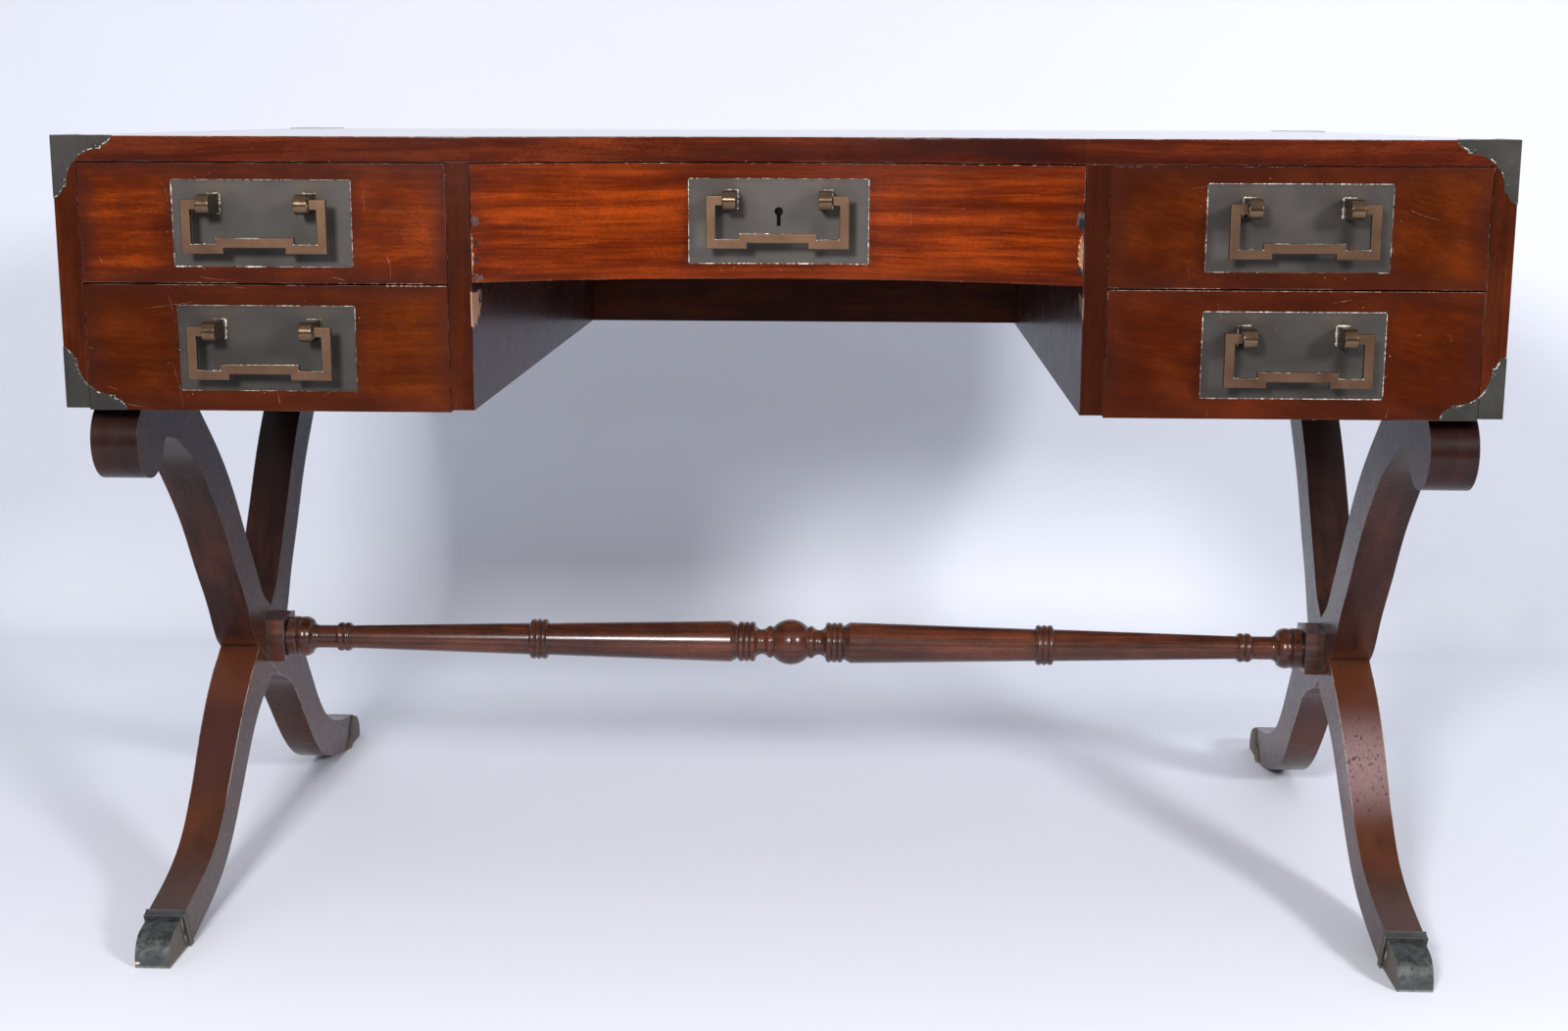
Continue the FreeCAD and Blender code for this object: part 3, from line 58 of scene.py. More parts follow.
class Socket:
    """A node's output; arithmetic on it adds Math nodes to its finish."""

    def __init__(self, finish, output):
        self.finish = finish
        self.output = output

    def math(self, operation, *values):
        return self.finish.node("ShaderNodeMath", {"operation": operation}, values)

    def __add__(self, other):
        return self.math("ADD", self, other)

    def __sub__(self, other):
        return self.math("SUBTRACT", self, other)

    def __rsub__(self, other):
        return self.math("SUBTRACT", other, self)

    def __mul__(self, other):
        return self.math("MULTIPLY", self, other)

    def __truediv__(self, other):
        return self.math("DIVIDE", self, other)

    def __pow__(self, other):
        return self.math("POWER", self, other)

    __radd__ = __add__
    __rmul__ = __mul__

    def least(self, other):
        return self.math("MINIMUM", self, other)

    def most(self, other):
        return self.math("MAXIMUM", self, other)

    def size(self):
        return self.math("ABSOLUTE", self)

    def step(self, low, high):
        """0 below low and 1 above high, or the other way round, with a smooth rise between."""
        return self.finish.node("ShaderNodeMapRange", {"interpolation_type": "SMOOTHSTEP"},
                                {"Value": self, "From Min": low, "From Max": high})


class Finish:
    """The nodes of a new material or world; node() adds any node to them."""

    def __init__(self, name, kind="materials"):
        self.owner = getattr(bpy.data, kind).new(name)
        self.owner.use_nodes = True
        self.tree = self.owner.node_tree
        self.tree.nodes.clear()
        self.place = self.node("ShaderNodeTexCoord", output="Object")

    def node(self, kind, settings=None, values=(), output=0):
        """Add a node, make its settings, then fill its sockets with numbers, colours or links."""
        made = self.tree.nodes.new(kind)
        for key, value in (settings or {}).items():
            if key == "stops":
                self.fill_ramp(made.color_ramp, value)
            else:
                setattr(made, key, value)
        pairs = values.items() if isinstance(values, dict) else enumerate(values)
        for key, value in pairs:
            if isinstance(value, Socket):
                self.tree.links.new(value.output, made.inputs[key])
            else:
                made.inputs[key].default_value = value
        return Socket(self, made.outputs[output]) if made.outputs else made

    def fill_ramp(self, ramp, stops):
        while len(ramp.elements) < len(stops):
            ramp.elements.new(0.5)
        for element, (at, colour) in zip(ramp.elements, stops):
            element.position = at
            element.color = (*colour, 1.0)

    def vector(self, operation, *values):
        """Vector Math on sockets and plain triples."""
        return self.node("ShaderNodeVectorMath", {"operation": operation}, values)

    def grid(self, sizes, turn=(0, 0, 0), centre=(0, 0, 0), where=None):
        """Object coordinates about a centre, turned, in units of the given feature sizes."""
        return self.node("ShaderNodeMapping", {"vector_type": "TEXTURE"},
                         {"Vector": where or self.place, "Location": centre, "Rotation": turn,
                          "Scale": sizes})

    def noise(self, sizes, turn=(0, 0, 0), detail=3.0, roughness=0.5, seed=0.0, bend=0.0, where=None):
        """Noise of about 0 to 1; sizes in metres are one for all or three along the turned axes."""
        if isinstance(sizes, float):
            sizes = (sizes,) * 3
        return self.node("ShaderNodeTexNoise", {"noise_dimensions": "4D"},
                         {"Vector": self.grid(sizes, turn, where=where), "W": seed, "Scale": 1.0,
                          "Detail": detail, "Roughness": roughness, "Distortion": bend})

    def bent(self, reach, size, seed):
        """Object coordinates pushed about by up to half of reach, so that straight grain wanders."""
        push = self.node("ShaderNodeTexNoise", {"noise_dimensions": "4D"},
                         {"Vector": self.grid((size,) * 3), "W": seed, "Scale": 1.0, "Detail": 1.0},
                         output="Color")
        push = self.vector("SUBTRACT", push, (0.5, 0.5, 0.5))
        return self.vector("ADD", self.place, self.vector("MULTIPLY", push, (reach,) * 3))

    def near(self, centre, radii, soft=0.5):
        """1 inside an oval about a centre and 0 outside it; soft is the share of the radius that fades."""
        away = self.node("ShaderNodeVectorMath", {"operation": "LENGTH"}, [self.grid(radii, centre=centre)],
                         output="Value")
        return away.step(1.0, 1.0 - soft)

    def closeness(self, distance):
        """1 in a tight inner corner and 0 on an open face."""
        open_sky = self.node("ShaderNodeAmbientOcclusion", {"samples": 6}, {"Distance": distance},
                             output="AO")
        return 1 - open_sky

    def mix(self, share, a, b):
        """Colour a where share is 0 and colour b where it is 1."""
        pair = [value if isinstance(value, Socket) else (*value, 1.0) for value in (a, b)]
        return self.node("ShaderNodeMix", {"data_type": "RGBA", "clamp_factor": True},
                         {0: share, 6: pair[0], 7: pair[1]}, output=2)

    def paint(self, base, *layers):
        """Colours laid over a base one after another; each layer is a share and a colour."""
        for share, colour in layers:
            base = self.mix(share, base, colour)
        return base

    def axes(self):
        """The X, Y and Z of the object's own frame."""
        parts = self.tree.nodes.new("ShaderNodeSeparateXYZ")
        self.tree.links.new(self.place.output, parts.inputs[0])
        return [Socket(self, out) for out in parts.outputs]

    def facing(self, axis):
        """The share of the surface's outward direction that lies along an axis."""
        normal = self.node("ShaderNodeNewGeometry", output="Normal")
        return self.node("ShaderNodeSeparateXYZ", None, [normal], output=axis)

    def ramp(self, share, stops):
        return self.node("ShaderNodeValToRGB", {"stops": stops}, [share])

    def bump(self, height, depth, strength, soft_edge=0.0):
        """A normal from a height map; height 1 stands depth metres out. Edges are softened by soft_edge."""
        values = {"Height": height, "Distance": depth, "Strength": strength}
        if soft_edge:
            values["Normal"] = self.node("ShaderNodeBevel", {"samples": 4}, {"Radius": soft_edge})
        return self.node("ShaderNodeBump", None, values)

    def shade(self, **values):
        """Finish with a Principled shader; underscores in the keys stand for spaces."""
        named = {key.replace("_", " "): value for key, value in values.items()}
        shader = self.node("ShaderNodeBsdfPrincipled", None, named)
        self.node("ShaderNodeOutputMaterial", None, [shader])
        return self.owner


def scaled(share, colour):
    """A colour made darker or lighter."""
    return [share * c for c in colour]


def edge_mask(finish, radius, low, high):
    """1 on sharp edges: where the rounded normal leaves the face's own normal."""
    soft = finish.node("ShaderNodeBevel", {"samples": 4}, {"Radius": radius})
    flat = finish.node("ShaderNodeNewGeometry", output="True Normal")
    lean = finish.node("ShaderNodeVectorMath", {"operation": "DOT_PRODUCT"}, [soft, flat], output="Value")
    return (1 - lean).step(low, high)


# ---------------------------------------------------------------- finishes

ALONG_X = (0.0, 0.0, 0.0)
UPRIGHT = (0.0, math.radians(-90), 0.0)
RUBBED_WOOD = (0.40, 0.24, 0.17)
NICK = (0.62, 0.55, 0.50)


def mahogany(name, dark, middle, light, turn=ALONG_X, stripe=0.009, figure=1.0, dash=0.5, seed=0.0,
             gloss=0.24, reach=0.3, wander=0.014, worn=0.5, nicks=0.5, marks=None, level=0.10,
             coat=0.05, lean=None, gleam=0.0, relief=0.0001):
    """Polished mahogany: slow drift, long soft stripes, hair lines, fibres and short dark pores.

    Each layer is noise stretched along the turned X, on coordinates that wander a little; their sum picks
    a colour between dark and light. Arrises are rubbed pale in places and have a few white nicks.
    """
    f = Finish(name)
    flow = f.bent(wander, 0.22, seed + 1)
    drift = f.noise((0.5 * reach, 0.09, 0.045), turn, 2.0, 0.5, seed, where=flow)
    stripes = f.noise((reach, 0.06, stripe), turn, 3.0, 0.55, seed + 3, where=flow)
    hairs = f.noise((0.3 * reach, 0.012, 0.22 * stripe), turn, 2.0, 0.6, seed + 4, where=flow)
    cloud = f.noise((0.03, 0.05, 0.022), turn, 3.0, 0.55, seed + 5, bend=0.5)
    fibres = f.noise((0.009, 0.001, 0.0008), turn, 3.0, 0.6, seed + 7, where=flow)
    pores = f.noise((0.0026, 0.0009, 0.00055), turn, 1.5, 0.6, seed + 9, where=flow)
    tone = 0.5 + (drift - 0.5) * 1.1 + (stripes - 0.5) * (1.5 * figure) + (hairs - 0.5) * (0.6 * figure)
    tone = tone + (cloud - 0.5) * 0.45 + (fibres - 0.5) * 0.65
    if lean:
        tone = tone + lean(f)
    glow = [min(1.55 * c, 1.0) for c in light]
    wood = f.ramp(tone, [(0.15, dark), (0.45, middle), (0.68, light), (0.95, glow)])
    pit = pores.step(0.52, 0.64) * drift.step(0.30, 0.58) * dash
    wood = f.mix(pit, wood, scaled(0.45, dark))
    rub = f.noise(0.05, detail=4.0, roughness=0.7, seed=seed + 11)
    scuff = f.noise(0.02, detail=5.0, roughness=0.75, seed=seed + 15)
    if marks:
        wood = marks(f, wood, rub, scuff)
    arris = edge_mask(f, 0.0011, 0.05, 0.3)
    wood = f.mix(arris * rub.step(0.44, 0.62) * worn, wood, RUBBED_WOOD)
    chips = arris * f.noise(0.006, roughness=0.7, seed=seed + 13).step(0.60, 0.66)
    wood = f.mix(chips * nicks, wood, NICK)
    rough = gloss + (scuff - 0.5) * 0.16 + pit * 0.1 + (rub - 0.5) * 0.08
    height = fibres * 0.2 + scuff * 0.12 - chips * 0.8
    if gleam:
        coat = coat + f.facing("Z").step(0.6, 0.95) * (gleam - (hairs - 0.5).size() * 0.6)
    return f.shade(Base_Color=wood, Roughness=rough, Specular_IOR_Level=level, Coat_Weight=coat,
                   Coat_Roughness=0.12, Normal=f.bump(height, relief, 0.6, soft_edge=0.0006))


def front_marks(box, plate, border, spots=(), depth=0.6):
    """Darker, redder polish along a drawer front's edges and round its plate, and stains inside.

    The distance to the nearest edge, made uneven with noise, gives the border; each spot is a ragged oval.
    """
    low, high = box
    middle = [(a + b) / 2 for a, b in zip(low, high)]
    half = [(b - a) / 2 for a, b in zip(low, high)]

    def marks(f, wood, rub, scuff):
        x, y, z = f.axes()
        side = half[0] - (x - middle[0]).size()
        rise = half[2] - (z - middle[2]).size()
        edge = side.least(rise * 1.2) + (rub - 0.5) * 0.03
        wood = f.mix(edge.step(0.026, 0.0) * depth, wood, border)
        beside = (plate[0][0] - x).most(x - plate[1][0])
        over = (plate[0][2] - z).most(z - plate[1][2])
        plate_gap = beside.most(over) + (scuff - 0.5) * 0.014
        wood = f.mix(plate_gap.step(0.013, 0.0) * 0.7 * depth, wood, border)
        wood = f.mix(rub.step(0.45, 0.75) * 0.16, wood, border)
        if spots:
            splinter = f.noise((0.0024, 0.0024, 0.0030), detail=4.0, roughness=0.7, seed=52.0)
        for spot_x, spot_z, wide, tall, colour, strength in spots:
            oval = f.near((spot_x, SPOT_Y, spot_z), (wide, SPOT_DEPTH, tall), 0.9)
            spot = (oval + (splinter - 0.5) * 2.4).step(0.42, 0.66) * oval.step(0.0, 0.25) * strength
            wood = f.mix(spot, wood, f.mix(splinter.step(0.35, 0.65), scaled(0.35, colour), colour))
        return wood
    return marks


def plate_brass(name, box, posts, tone=1.0, seed=0.0):
    """Inlaid plate: even grey-olive brass with faint upright brush lines, paler where the posts stand, with
    painted shade in its tight corners and a painted shadow about the posts and bails.
    """
    f = Finish(name)
    cloud = f.noise((0.05, 0.05, 0.035), roughness=0.55, seed=seed)
    brush = f.noise((0.0007, 0.0007, 0.02), detail=2.0, roughness=0.6, seed=seed + 2)
    spots = f.noise(0.0035, roughness=0.7, seed=seed + 4)
    shade = 0.5 + (cloud - 0.5) * 0.95 + (brush - 0.5) * 0.10 + (spots - 0.5) * 0.12
    dark, middle, light = (0.0325, 0.0290, 0.0260), (0.0495, 0.0437, 0.0390), (0.070, 0.0605, 0.053)
    brass = f.ramp(shade, [(0.25, scaled(tone, dark)), (0.5, scaled(tone, middle)),
                           (0.78, scaled(tone, light))])
    for centre in posts:
        halo = f.near(centre, (0.017, 0.05, 0.019), 0.9) * cloud.step(0.30, 0.65)
        brass = f.mix(halo * 0.5, brass, (0.105, 0.086, 0.050))
        rosy = f.near((centre[0], centre[1], centre[2] + 0.012), (0.03, 0.05, 0.012), 0.9)
        brass = f.mix(rosy * 0.3, brass, (0.105, 0.066, 0.055))
    low, high = box
    x, y, z = f.axes()
    rise = (z - low[2]).least(high[2] - z)
    side = (x - low[0]).least(high[0] - x)
    rim = rise.least(side).step(0.0045, 0.0) * spots.step(0.35, 0.6)
    brass = f.mix(rim * 0.35, brass, scaled(0.5, dark))
    # Painted shade: darker within a few millimetres of where the posts and bail close the plate in.
    dirt_and_shade = f.closeness(0.006).step(0.25, 0.7)
    brass = f.mix(dirt_and_shade * 0.5, brass, (0.020, 0.018, 0.014))
    # Painted shadow: near black about the posts and behind the bails, where they shade the plate.
    brass = f.mix(f.closeness(0.035).step(0.08, 0.55) * 0.6, brass, (0.012, 0.011, 0.009))
    specks = spots.step(0.70, 0.76)
    brass = f.mix(specks * 0.3, brass, (0.20, 0.20, 0.18))
    rough = 0.5 + (cloud - 0.5) * 0.2 + (brush - 0.5) * 0.05
    return f.shade(Base_Color=brass, Metallic=0.35 - specks * 0.2, Roughness=rough, Specular_IOR_Level=0.25,
                   Normal=f.bump(brush * 0.1 + spots * 0.3, 0.00008, 0.5, soft_edge=0.0004))


def old_brass(name, dark, middle, light, seed=0.0, gloss=0.38, metal=0.85, grime=0.3, fine=1.0, blotch=0.8,
              bright=2.0, edge=0.5, marks=None):
    """Patinated brass: cloudy tarnish, rubbed scratches, grime in random spots with painted shade in inner
    corners, and bright worn edges that are partly a painted highlight.
    """
    f = Finish(name)
    cloud = f.noise((0.035 * fine, 0.035 * fine, 0.03 * fine), detail=4.0, roughness=0.6, seed=seed, bend=0.3)
    spots = f.noise(0.004, roughness=0.7, seed=seed + 3)
    brushed = f.noise((0.03, 0.0006, 0.0006), (0.0, 0.2, 0.1), 2.0, 0.6, seed + 5)
    tone = 0.5 + (cloud - 0.5) * blotch + (spots - 0.5) * (0.4 * blotch) + (brushed - 0.5) * 0.14
    brass = f.ramp(tone, [(0.25, dark), (0.5, middle), (0.78, light)])
    # Grime in random spots, and painted shade where the surface is closed in at inner corners.
    dirt_and_shade = (spots.step(0.62, 0.74) * grime).most(f.closeness(0.004).step(0.3, 0.8) * 0.6)
    brass = f.mix(dirt_and_shade, brass, scaled(0.35, dark))
    if marks:
        brass = marks(f, brass, cloud, spots)
    # Arrises rubbed pale in places and brightened beyond the brass's own colour as a painted highlight.
    worn = edge_mask(f, 0.0006, 0.05, 0.3) * spots.step(0.30, 0.56)
    brass = f.mix(worn * edge, brass, [min(bright * c, 0.85) for c in light])
    rough = gloss + (cloud - 0.5) * 0.25 + dirt_and_shade * 0.3 - worn * 0.1
    return f.shade(Base_Color=brass, Metallic=metal - dirt_and_shade * 0.5, Roughness=rough,
                   Normal=f.bump(cloud * 0.3 + spots * 0.4, 0.0001, 0.5, soft_edge=0.0004))


def white_filler(name):
    """Old white stopping and polishing paste: chalky, a little yellow, with dirty grey stretches."""
    f = Finish(name)
    dirt_and_shade = f.noise(0.005, detail=4.0, roughness=0.75, seed=41.0)
    paste = f.ramp(dirt_and_shade, [(0.34, (0.12, 0.09, 0.07)), (0.53, (0.42, 0.38, 0.33)), (0.70, (0.80, 0.78, 0.74))])
    return f.shade(Base_Color=paste, Roughness=0.6 + (dirt_and_shade - 0.5) * 0.2,
                   Normal=f.bump(dirt_and_shade, 0.0002, 0.8))


def scratch_line(name):
    """A fine line scratched in the polish, pale where it reaches the wood; also the pale lines of rubbed
    arrises with a painted highlight.
    """
    f = Finish(name)
    fade = f.noise(0.004, roughness=0.6, seed=43.0)
    tone = f.ramp(fade, [(0.35, (0.09, 0.028, 0.015)), (0.55, (0.26, 0.13, 0.085)),
                         (0.75, (0.52, 0.37, 0.29))])
    return f.shade(Base_Color=tone, Roughness=0.5 + (fade - 0.5) * 0.2, Normal=f.bump(fade, 0.0001, 0.5))


def drawer_lining(name):
    """Plain oiled drawer wood: pale brown with long fibres, paler dusty arrises and painted shade in its inner
    corners.
    """
    f = Finish(name)
    fibres = f.noise((0.0016, 0.06, 0.0012), roughness=0.6, seed=2.0)
    drift = f.noise((0.05, 0.5, 0.03), roughness=0.5, seed=4.0)
    tone = 0.5 + (drift - 0.5) * 1.1 + (fibres - 0.5) * 0.9
    wood = f.ramp(tone, [(0.25, (0.16, 0.075, 0.033)), (0.5, (0.27, 0.14, 0.065)), (0.8, (0.38, 0.22, 0.11))])
    dust = f.noise(0.02, detail=4.0, seed=6.0)
    wood = f.mix(edge_mask(f, 0.001, 0.05, 0.3) * dust * 0.4, wood, (0.5, 0.34, 0.2))
    # Painted shade in the box's inner corners.
    wood = f.mix(f.closeness(0.02).step(0.2, 0.8) * 0.5, wood, (0.07, 0.035, 0.018))
    return f.shade(Base_Color=wood, Roughness=0.62 + (dust - 0.5) * 0.2,
                   Normal=f.bump(fibres, 0.00015, 0.6, soft_edge=0.0005))


def top_marks(f, wood, rub, scuff):
    """Purple-dark patches in the desktop's polish, strongest beside the kneehole's right end."""
    patch = f.noise((0.12, 0.12, 0.02), roughness=0.55, seed=57.0)
    wood = f.mix(patch.step(0.46, 0.66) * 0.6, wood, PURPLE_BROWN)
    return f.mix(f.near((0.18, -0.33, 0.755), (0.13, 0.10, 0.05), 0.9) * patch.step(0.3, 0.5) * 0.8, wood,
                 (0.020, 0.006, 0.005))


# The kneehole's front corners: its face's X on either side, its front edge's Y and the drawer's underside.
KNEEHOLE_X, KNEEHOLE_Y, UNDER_DRAWER = 0.2575, -0.379, 0.635


def kneehole_marks(f, wood, rub, scuff):
    """Pale bare wood where the kneehole's front corners are splintered, just under the centre drawer.

    Each splinter is a quarter of an oval: deep at its top and narrow below; the left one is larger. The
    kneehole's inner faces also get a patchy painted shade, near black.
    """
    x, y, z = f.axes()
    inside = (KNEEHOLE_X + 0.001 - x.size()).step(0.0, 0.001)
    wood_left = 1.0
    splinter = f.noise((0.006, 0.009, 0.016), detail=4.0, roughness=0.7, seed=51.0)
    under = (z + (splinter - 0.5) * 0.012).step(UNDER_DRAWER + 0.002, UNDER_DRAWER)
    for side, depth, height, colour in ((-1, 0.052, 0.036, (0.46, 0.25, 0.16)),
                                        (1, 0.045, 0.020, (0.40, 0.30, 0.22))):
        oval = f.near((side * KNEEHOLE_X, KNEEHOLE_Y, UNDER_DRAWER), (0.010, depth, height), 0.9)
        bare = (oval + (splinter - 0.5) * 1.5).step(0.12, 0.18) * oval.step(0.0, 0.06) * under * inside
        wood = f.mix(bare * 0.9, wood, colour)
        wood_left = (1 - bare) * wood_left
    stain_and_shade = f.noise((0.08, 0.08, 0.05), seed=53.0)
    # Darker brown all over, more towards the right; painted shade, patchy and near black, on the kneehole's
    # inner faces except where the wood is bare.
    return f.paint(wood, (x.step(-0.1, 0.1) * 0.5 + 0.15, DEEP_BROWN),
                   (inside * (0.55 + (stain_and_shade - 0.5) * 0.5) * wood_left, (0.020, 0.012, 0.013)))


def leg_marks(f, wood, rub, scuff):
    """Legs: painted light and shade by height, warmer low down and below the crossing and darker higher up
    under the case; dull by the brass toes, with a painted sheen on the right front leg, dark pits, pale
    arrises and painted shade in inner corners.
    """
    x, y, z = f.axes()
    # Painted light: an orange glow low on the legs.
    low = (z + (rub - 0.5) * 0.04).step(0.14, 0.09)
    toe = (z + (rub - 0.5) * 0.02).step(0.075, 0.042)
    # Painted light: warmer below the crossing.
    warm_light_below_crossing = z.step(0.175, 0.205) * z.step(0.250, 0.235)
    streak = f.noise((0.0026, 0.0026, 0.03), detail=5.0, roughness=0.65, seed=56.0)
    # Painted reflection: a pale lilac sheen on the right front leg, with a few more dark pits inside it.
    painted_sheen = f.near((0.58, -0.20, 0.155), (0.11, 0.2, 0.064), 0.75) * (0.35 + streak * 0.8)
    knots = f.noise((0.0036, 0.0036, 0.0065), roughness=0.6, seed=55.0)
    worn_height = z.step(0.10, 0.12) * z.step(0.235, 0.215)
    pale = edge_mask(f, 0.0016, 0.03, 0.2) * worn_height * scuff.step(0.40, 0.50)
    return f.paint(
        wood,
        (z.step(0.09, 0.14) * z.step(0.26, 0.20) * 0.6, (0.060, 0.017, 0.013)),
        (low * (0.35 + rub.step(0.35, 0.6) * 0.35), (0.092, 0.026, 0.010)),
        (warm_light_below_crossing * 0.5, (0.105, 0.031, 0.010)),
        (toe * 0.5, (0.040, 0.030, 0.027)),
        # Painted shade: darker towards the top under the case, and near black on the rear legs' upper part in
        # the case's shadow.
        (z.step(0.40, 0.53) * 0.55, (0.010, 0.005, 0.004)),
        (z.step(0.30, 0.42) * y.step(0.05, 0.2) * 0.92, (0.005, 0.003, 0.003)),
        (painted_sheen, (0.30, 0.19, 0.19)),
        ((streak - 0.5).size() * 1.3, (0.018, 0.007, 0.006)),
        ((knots + painted_sheen * 0.11).step(0.66, 0.71) * 0.85, (0.014, 0.007, 0.006)),
        (pale * 0.9, (0.66, 0.58, 0.52)),
        # Painted shade in inner corners.
        (f.closeness(0.02).step(0.25, 0.8) * 0.6, (0.012, 0.008, 0.007)))


def turned_marks(f, wood, rub, scuff):
    """Turned rod: grey-green wax left in the grooves, dark residue with painted shade in the grooves and at
    the ends of each swelling, and random darker patches.
    """
    groove = f.closeness(0.009)
    wax = groove.step(0.30, 0.42) * groove.step(0.62, 0.48) * scuff.step(0.35, 0.55)
    # Dark residue and painted shade, deepest in the grooves.
    return f.paint(wood, (groove.step(0.06, 0.25) * 0.65, (0.022, 0.012, 0.009)),
                   (wax * 0.7, (0.085, 0.080, 0.066)),
                   (groove.step(0.5, 0.8) * 0.85, (0.010, 0.006, 0.005)),
                   (rub.step(0.45, 0.7) * 0.35, (0.040, 0.014, 0.009)))


def post_marks(f, brass, cloud, spots):
    """Posts: brown flat cheeks beside the polished olive barrel."""
    face = f.facing("X").size()
    return f.mix(face.step(0.6, 0.95) * 0.8, brass, (0.070, 0.040, 0.026))


def toe_marks(f, brass, cloud, spots):
    """Brass toes: black-green stains on the instep, brown sides, painted light on the rear toes' faces other
    than their sides, a rubbed pale lower rim and a bare spot.
    """
    face = f.facing("X").size()
    x, y, z = f.axes()
    stain_and_shade = f.noise((0.006, 0.006, 0.005), detail=6.0, roughness=0.75, seed=61.0)
    instep = (z + (stain_and_shade - 0.5) * 0.02).step(0.006, 0.022) * z.step(0.040, 0.034)
    return f.paint(brass, (face.step(0.6, 0.95) * 0.8, (0.120, 0.092, 0.056)),
                   # Painted light: the rear toes' top and end faces made lighter.
                   (y.step(0.2, 0.3) * face.step(0.7, 0.3) * 0.5, (0.17, 0.145, 0.090)),
                   (stain_and_shade.step(0.42, 0.62) * instep * face.step(0.6, 0.2) * 0.85, (0.012, 0.015, 0.014)),
                   (z.step(0.0032, 0.0006) * spots.step(0.3, 0.5) * 0.7, (0.30, 0.31, 0.26)),
                   (f.near((-0.5975, -0.329, 0.0050), (0.0030, 0.004, 0.0016), 0.4), (0.75, 0.70, 0.50)))


PURPLE_BROWN = (0.030, 0.0070, 0.0042)
DEEP_BROWN = (0.018, 0.0030, 0.0010)
BLUE_GREY = (0.085, 0.085, 0.080)
BARE_WOOD = (0.44, 0.22, 0.13)
RED_STAIN = (0.17, 0.016, 0.009)
DARK_HOLE = (0.014, 0.020, 0.024)

# Each spot at the centre drawer's ends: x, z, its radii along them, colour and strength.
SPOT_Y, SPOT_DEPTH = -0.375, 0.03
CENTRE_SPOTS = [
    (-0.2530, 0.696, 0.0062, 0.0085, BLUE_GREY, 0.5),
    (-0.2568, 0.668, 0.0032, 0.030, BARE_WOOD, 0.75),
    (-0.2528, 0.678, 0.0034, 0.0045, DARK_HOLE, 0.9),
    (-0.2528, 0.671, 0.0030, 0.0042, RED_STAIN, 0.5),
    (-0.2528, 0.664, 0.0034, 0.0040, DARK_HOLE, 0.9),
    (-0.2528, 0.657, 0.0030, 0.0045, RED_STAIN, 0.5),
    (-0.2515, 0.649, 0.0075, 0.0050, BLUE_GREY, 0.6),
    (0.2550, 0.672, 0.0050, 0.026, BARE_WOOD, 0.9),
    (0.2540, 0.699, 0.0062, 0.0110, BLUE_GREY, 0.9),
    (0.2545, 0.696, 0.0045, 0.0095, DARK_HOLE, 0.95),
    (0.2535, 0.658, 0.0036, 0.0055, DARK_HOLE, 0.9),
]


def front_finish(drawer, dark, middle, light, spots=(), depth=0.6, lean=0.0, **grain):
    """The polish of one drawer's front; lean makes its right end lighter and its left end darker."""
    low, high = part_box(f"{drawer}_front")
    middle_x, half = (low[0] + high[0]) / 2, (high[0] - low[0]) / 2

    def slope(f):
        return (f.axes()[0] - middle_x) * (lean / half)

    return mahogany(f"{drawer}_polish", dark, middle, light, lean=slope if lean else None,
                    marks=front_marks((low, high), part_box(f"{drawer}_plate"), PURPLE_BROWN, spots, depth),
                    **grain)


def plate_finish(drawer, seed, tone=1.0):
    """The brass of one drawer's plate, with its two posts' places."""
    low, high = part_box(f"{drawer}_plate")
    post_low, post_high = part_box(f"{drawer}_posts")
    z = (post_low[2] + post_high[2]) / 2
    posts = [(x, low[1], z + 0.004) for x in (post_low[0] + 0.0055, post_high[0] - 0.0055)]
    return plate_brass(f"{drawer}_plate_brass", (low, high), posts, tone, seed)


PLATE_TONE = {"upper_left": 1.02, "upper_right": 0.88, "lower_left": 0.68, "lower_right": 0.8, "centre": 1.12}

